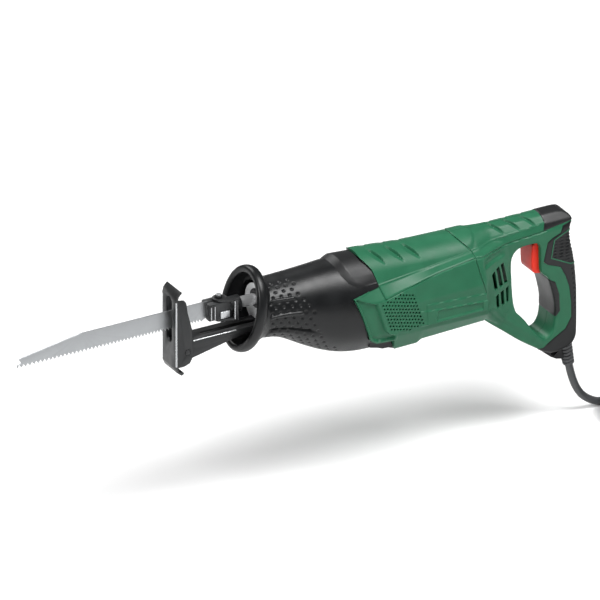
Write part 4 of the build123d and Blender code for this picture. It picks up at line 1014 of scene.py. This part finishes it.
def inner_region(points):
    """Closed outline with each corner drawn inward by the gap between two coverings."""
    result = []
    for k, corner in enumerate(np.array(points, float)):
        tangent = np.array(points[(k + 1) % len(points)]) - np.array(points[k - 1])
        tangent = tangent / np.linalg.norm(tangent)
        normal = np.array([tangent[1], -tangent[0]])
        spot = corner + normal * SKIN_GAP
        if not inside(spot[:1], spot[1:], points)[0]:
            spot = corner - normal * SKIN_GAP
        result.append((float(spot[0]), float(spot[1])))
    return result


cap_mesh = combine(handle_wall.copy(), ("INTERSECT", prism(inner_region(CAP_REGION))))
place("top_cap_look", shaded(cap_mesh), "black_plastic", "housing", ["top_cap"])
rear_mesh = combine(
    handle_wall.copy(), ("INTERSECT", prism(inner_region(REAR_REGION))),
    ("UNION", prism(LUG_OUTLINE, -4.5, 4.5)), ("DIFFERENCE", relief_hole),
    ("DIFFERENCE", prism(hang_outline)))
place("rear_grip_look", shaded(rear_mesh), "black_rubber", "housing", ["rear_grip"])
pad_mesh = combine(handle_wall.copy(), ("INTERSECT", prism(inner_region(FRONT_REGION))))
place("front_grip_pad_look", shaded(pad_mesh), "black_rubber", "housing", ["front_grip_pad"])

TRIGGER_SIDE = [(-31, 60.6), (-32, 44), (-31.5, 30), (-27, 26.6), (-13, 26.6), (-13, 60.6)]
trigger_mesh = remeshed(prism(eased(TRIGGER_SIDE, 1), -11.2, 11.2), 0.6, 12)
place("trigger_look", shaded(trigger_mesh), "red_plastic", "trigger", ["trigger"])

# ---------------------------------------------------------------- painted highlights: bright strips along edges of the shoe, arm and clamp
def highlight_strip(name, start, end, radius, body):
    """Thin rounded strip of bright steel along an edge, a painted highlight where the edge catches the
    light.
    """
    run = Vector(end) - Vector(start)
    bar = turned_bar(start, run.normalized(), radius, run.length, 16)
    place(name, shaded(bar), "bright_steel", body)


# each strip is a painted highlight along a rounded edge
for sign, side_name in SIDES:
    y = sign * 12.4
    highlight_strip(f"shoe_bend_highlight_{side_name}", (-414.0, y, 26.5), (-414.0, y, 93.0), 0.85, "shoe")
    y = sign * 9.9
    highlight_strip(f"arm_edge_highlight_{side_name}", (-394.5, y, 47.75), (-349.0, y, 47.75), 0.5, "shoe_arm")
    y = sign * 8.55
    for rib, x in enumerate((-374.5, -370.5)):
        highlight_strip(f"clamp_rib_highlight_{side_name}_{rib}", (x, y, 63.2), (x, y, 76.4), 0.5, "ram")
# the bright dome on the pin's top and the strip on the lever are painted highlights
highlight_strip("pin_top_highlight", (-362.0, 0.0, 83.3), (-362.0, 0.0, 84.0), 2.5, "ram")
highlight_strip("lever_edge_highlight", (-351.4, -12.6, 61.0), (-351.4, -12.6, 79.5), 0.6, "clamp_lever")

# ---------------------------------------------------------------- green line round the inlay of the grip
LINE_OUTER = [(30, 68.2), (4.4, 68.2), (-11.6, 60.8), (-14.8, 42.2), (6.2, 31.6), (30, 31.6)]
LINE_INNER = [(31, 67.2), (4.6, 67.2), (-10.6, 60.2), (-13.8, 42.8), (6.4, 32.6), (31, 32.6)]
LINE_REAR = [(9.0, 80), (12.5, 20), (40, 20), (40, 80)]
line_top, line_bottom = (pushed(handle_outer, np.full(len(spots), rise)) for rise in (0.35, -0.6))
line_mesh = combine(line_top, ("DIFFERENCE", line_bottom))
line_mesh = combine(
    line_mesh, ("INTERSECT", prism(LINE_OUTER)), ("DIFFERENCE", prism(LINE_INNER)),
    ("DIFFERENCE", prism(LINE_REAR)))
place("grip_line", shaded(line_mesh), "green_plastic", "housing")

# ---------------------------------------------------------------- hard parts with rounded edges
ROUNDING = {
    "clamp_body": 0.5, "lever_pin": 0.3, "clamp_lever": 0.4, "clamp_plate": 0.25, "cross_pin": 0.2,
    "shoe_plate": 0.45, "shoe_pivot_pin": 0.3, "shoe_arm": 0.5, "plunger_seal": 0.3,
}
for node_name, width in ROUNDING.items():
    softened(node_name, width)

# ---------------------------------------------------------------- floor and light
FLOOR_REACH = 6.0
FLOOR_COLOUR = (0.86, 0.86, 0.86)
floor_mesh = bpy.data.meshes.new("floor")
floor_mesh.from_pydata(
    [(x * FLOOR_REACH, y * FLOOR_REACH, FLOOR_Z * MM) for x, y in ((-1, -1), (1, -1), (1, 1), (-1, 1))],
    [], [(0, 1, 2, 3)])
floor = bpy.data.objects.new("floor", floor_mesh)
scene.collection.objects.link(floor)
floor_mesh.materials.append(
    finish("floor", FLOOR_COLOUR, 0.01, (0.8, 0.9), 200, 0.02, edge_lift=0.0, patch=2.0))


def lamp(name, location, aim, size, power):
    """Soft square light that faces a point."""
    data = bpy.data.lights.new(name, "AREA")
    data.size = size
    data.energy = power
    light = bpy.data.objects.new(name, data)
    scene.collection.objects.link(light)
    light.location = location
    light.rotation_mode = "QUATERNION"
    light.rotation_quaternion = (Vector(aim) - Vector(location)).to_track_quat("-Z", "Y")


# place, aim, width in metres and watts
lamp("key", (0.5, -0.75, 1.9), (-0.25, 0, 0.05), 0.9, 50)
lamp("fill", (-1.6, -0.9, 1.7), (-0.25, 0, 0.05), 0.9, 30)
lamp("rim", (-0.4, 1.6, 1.7), (-0.2, 0, 0.05), 1.4, 30)
world = bpy.data.worlds.new("studio")
world.use_nodes = True
background = world.node_tree.nodes["Background"]
background.inputs["Color"].default_value = (1, 1, 1, 1)
background.inputs["Strength"].default_value = 0.12
scene.world = world
scene.view_settings.view_transform = "Standard"
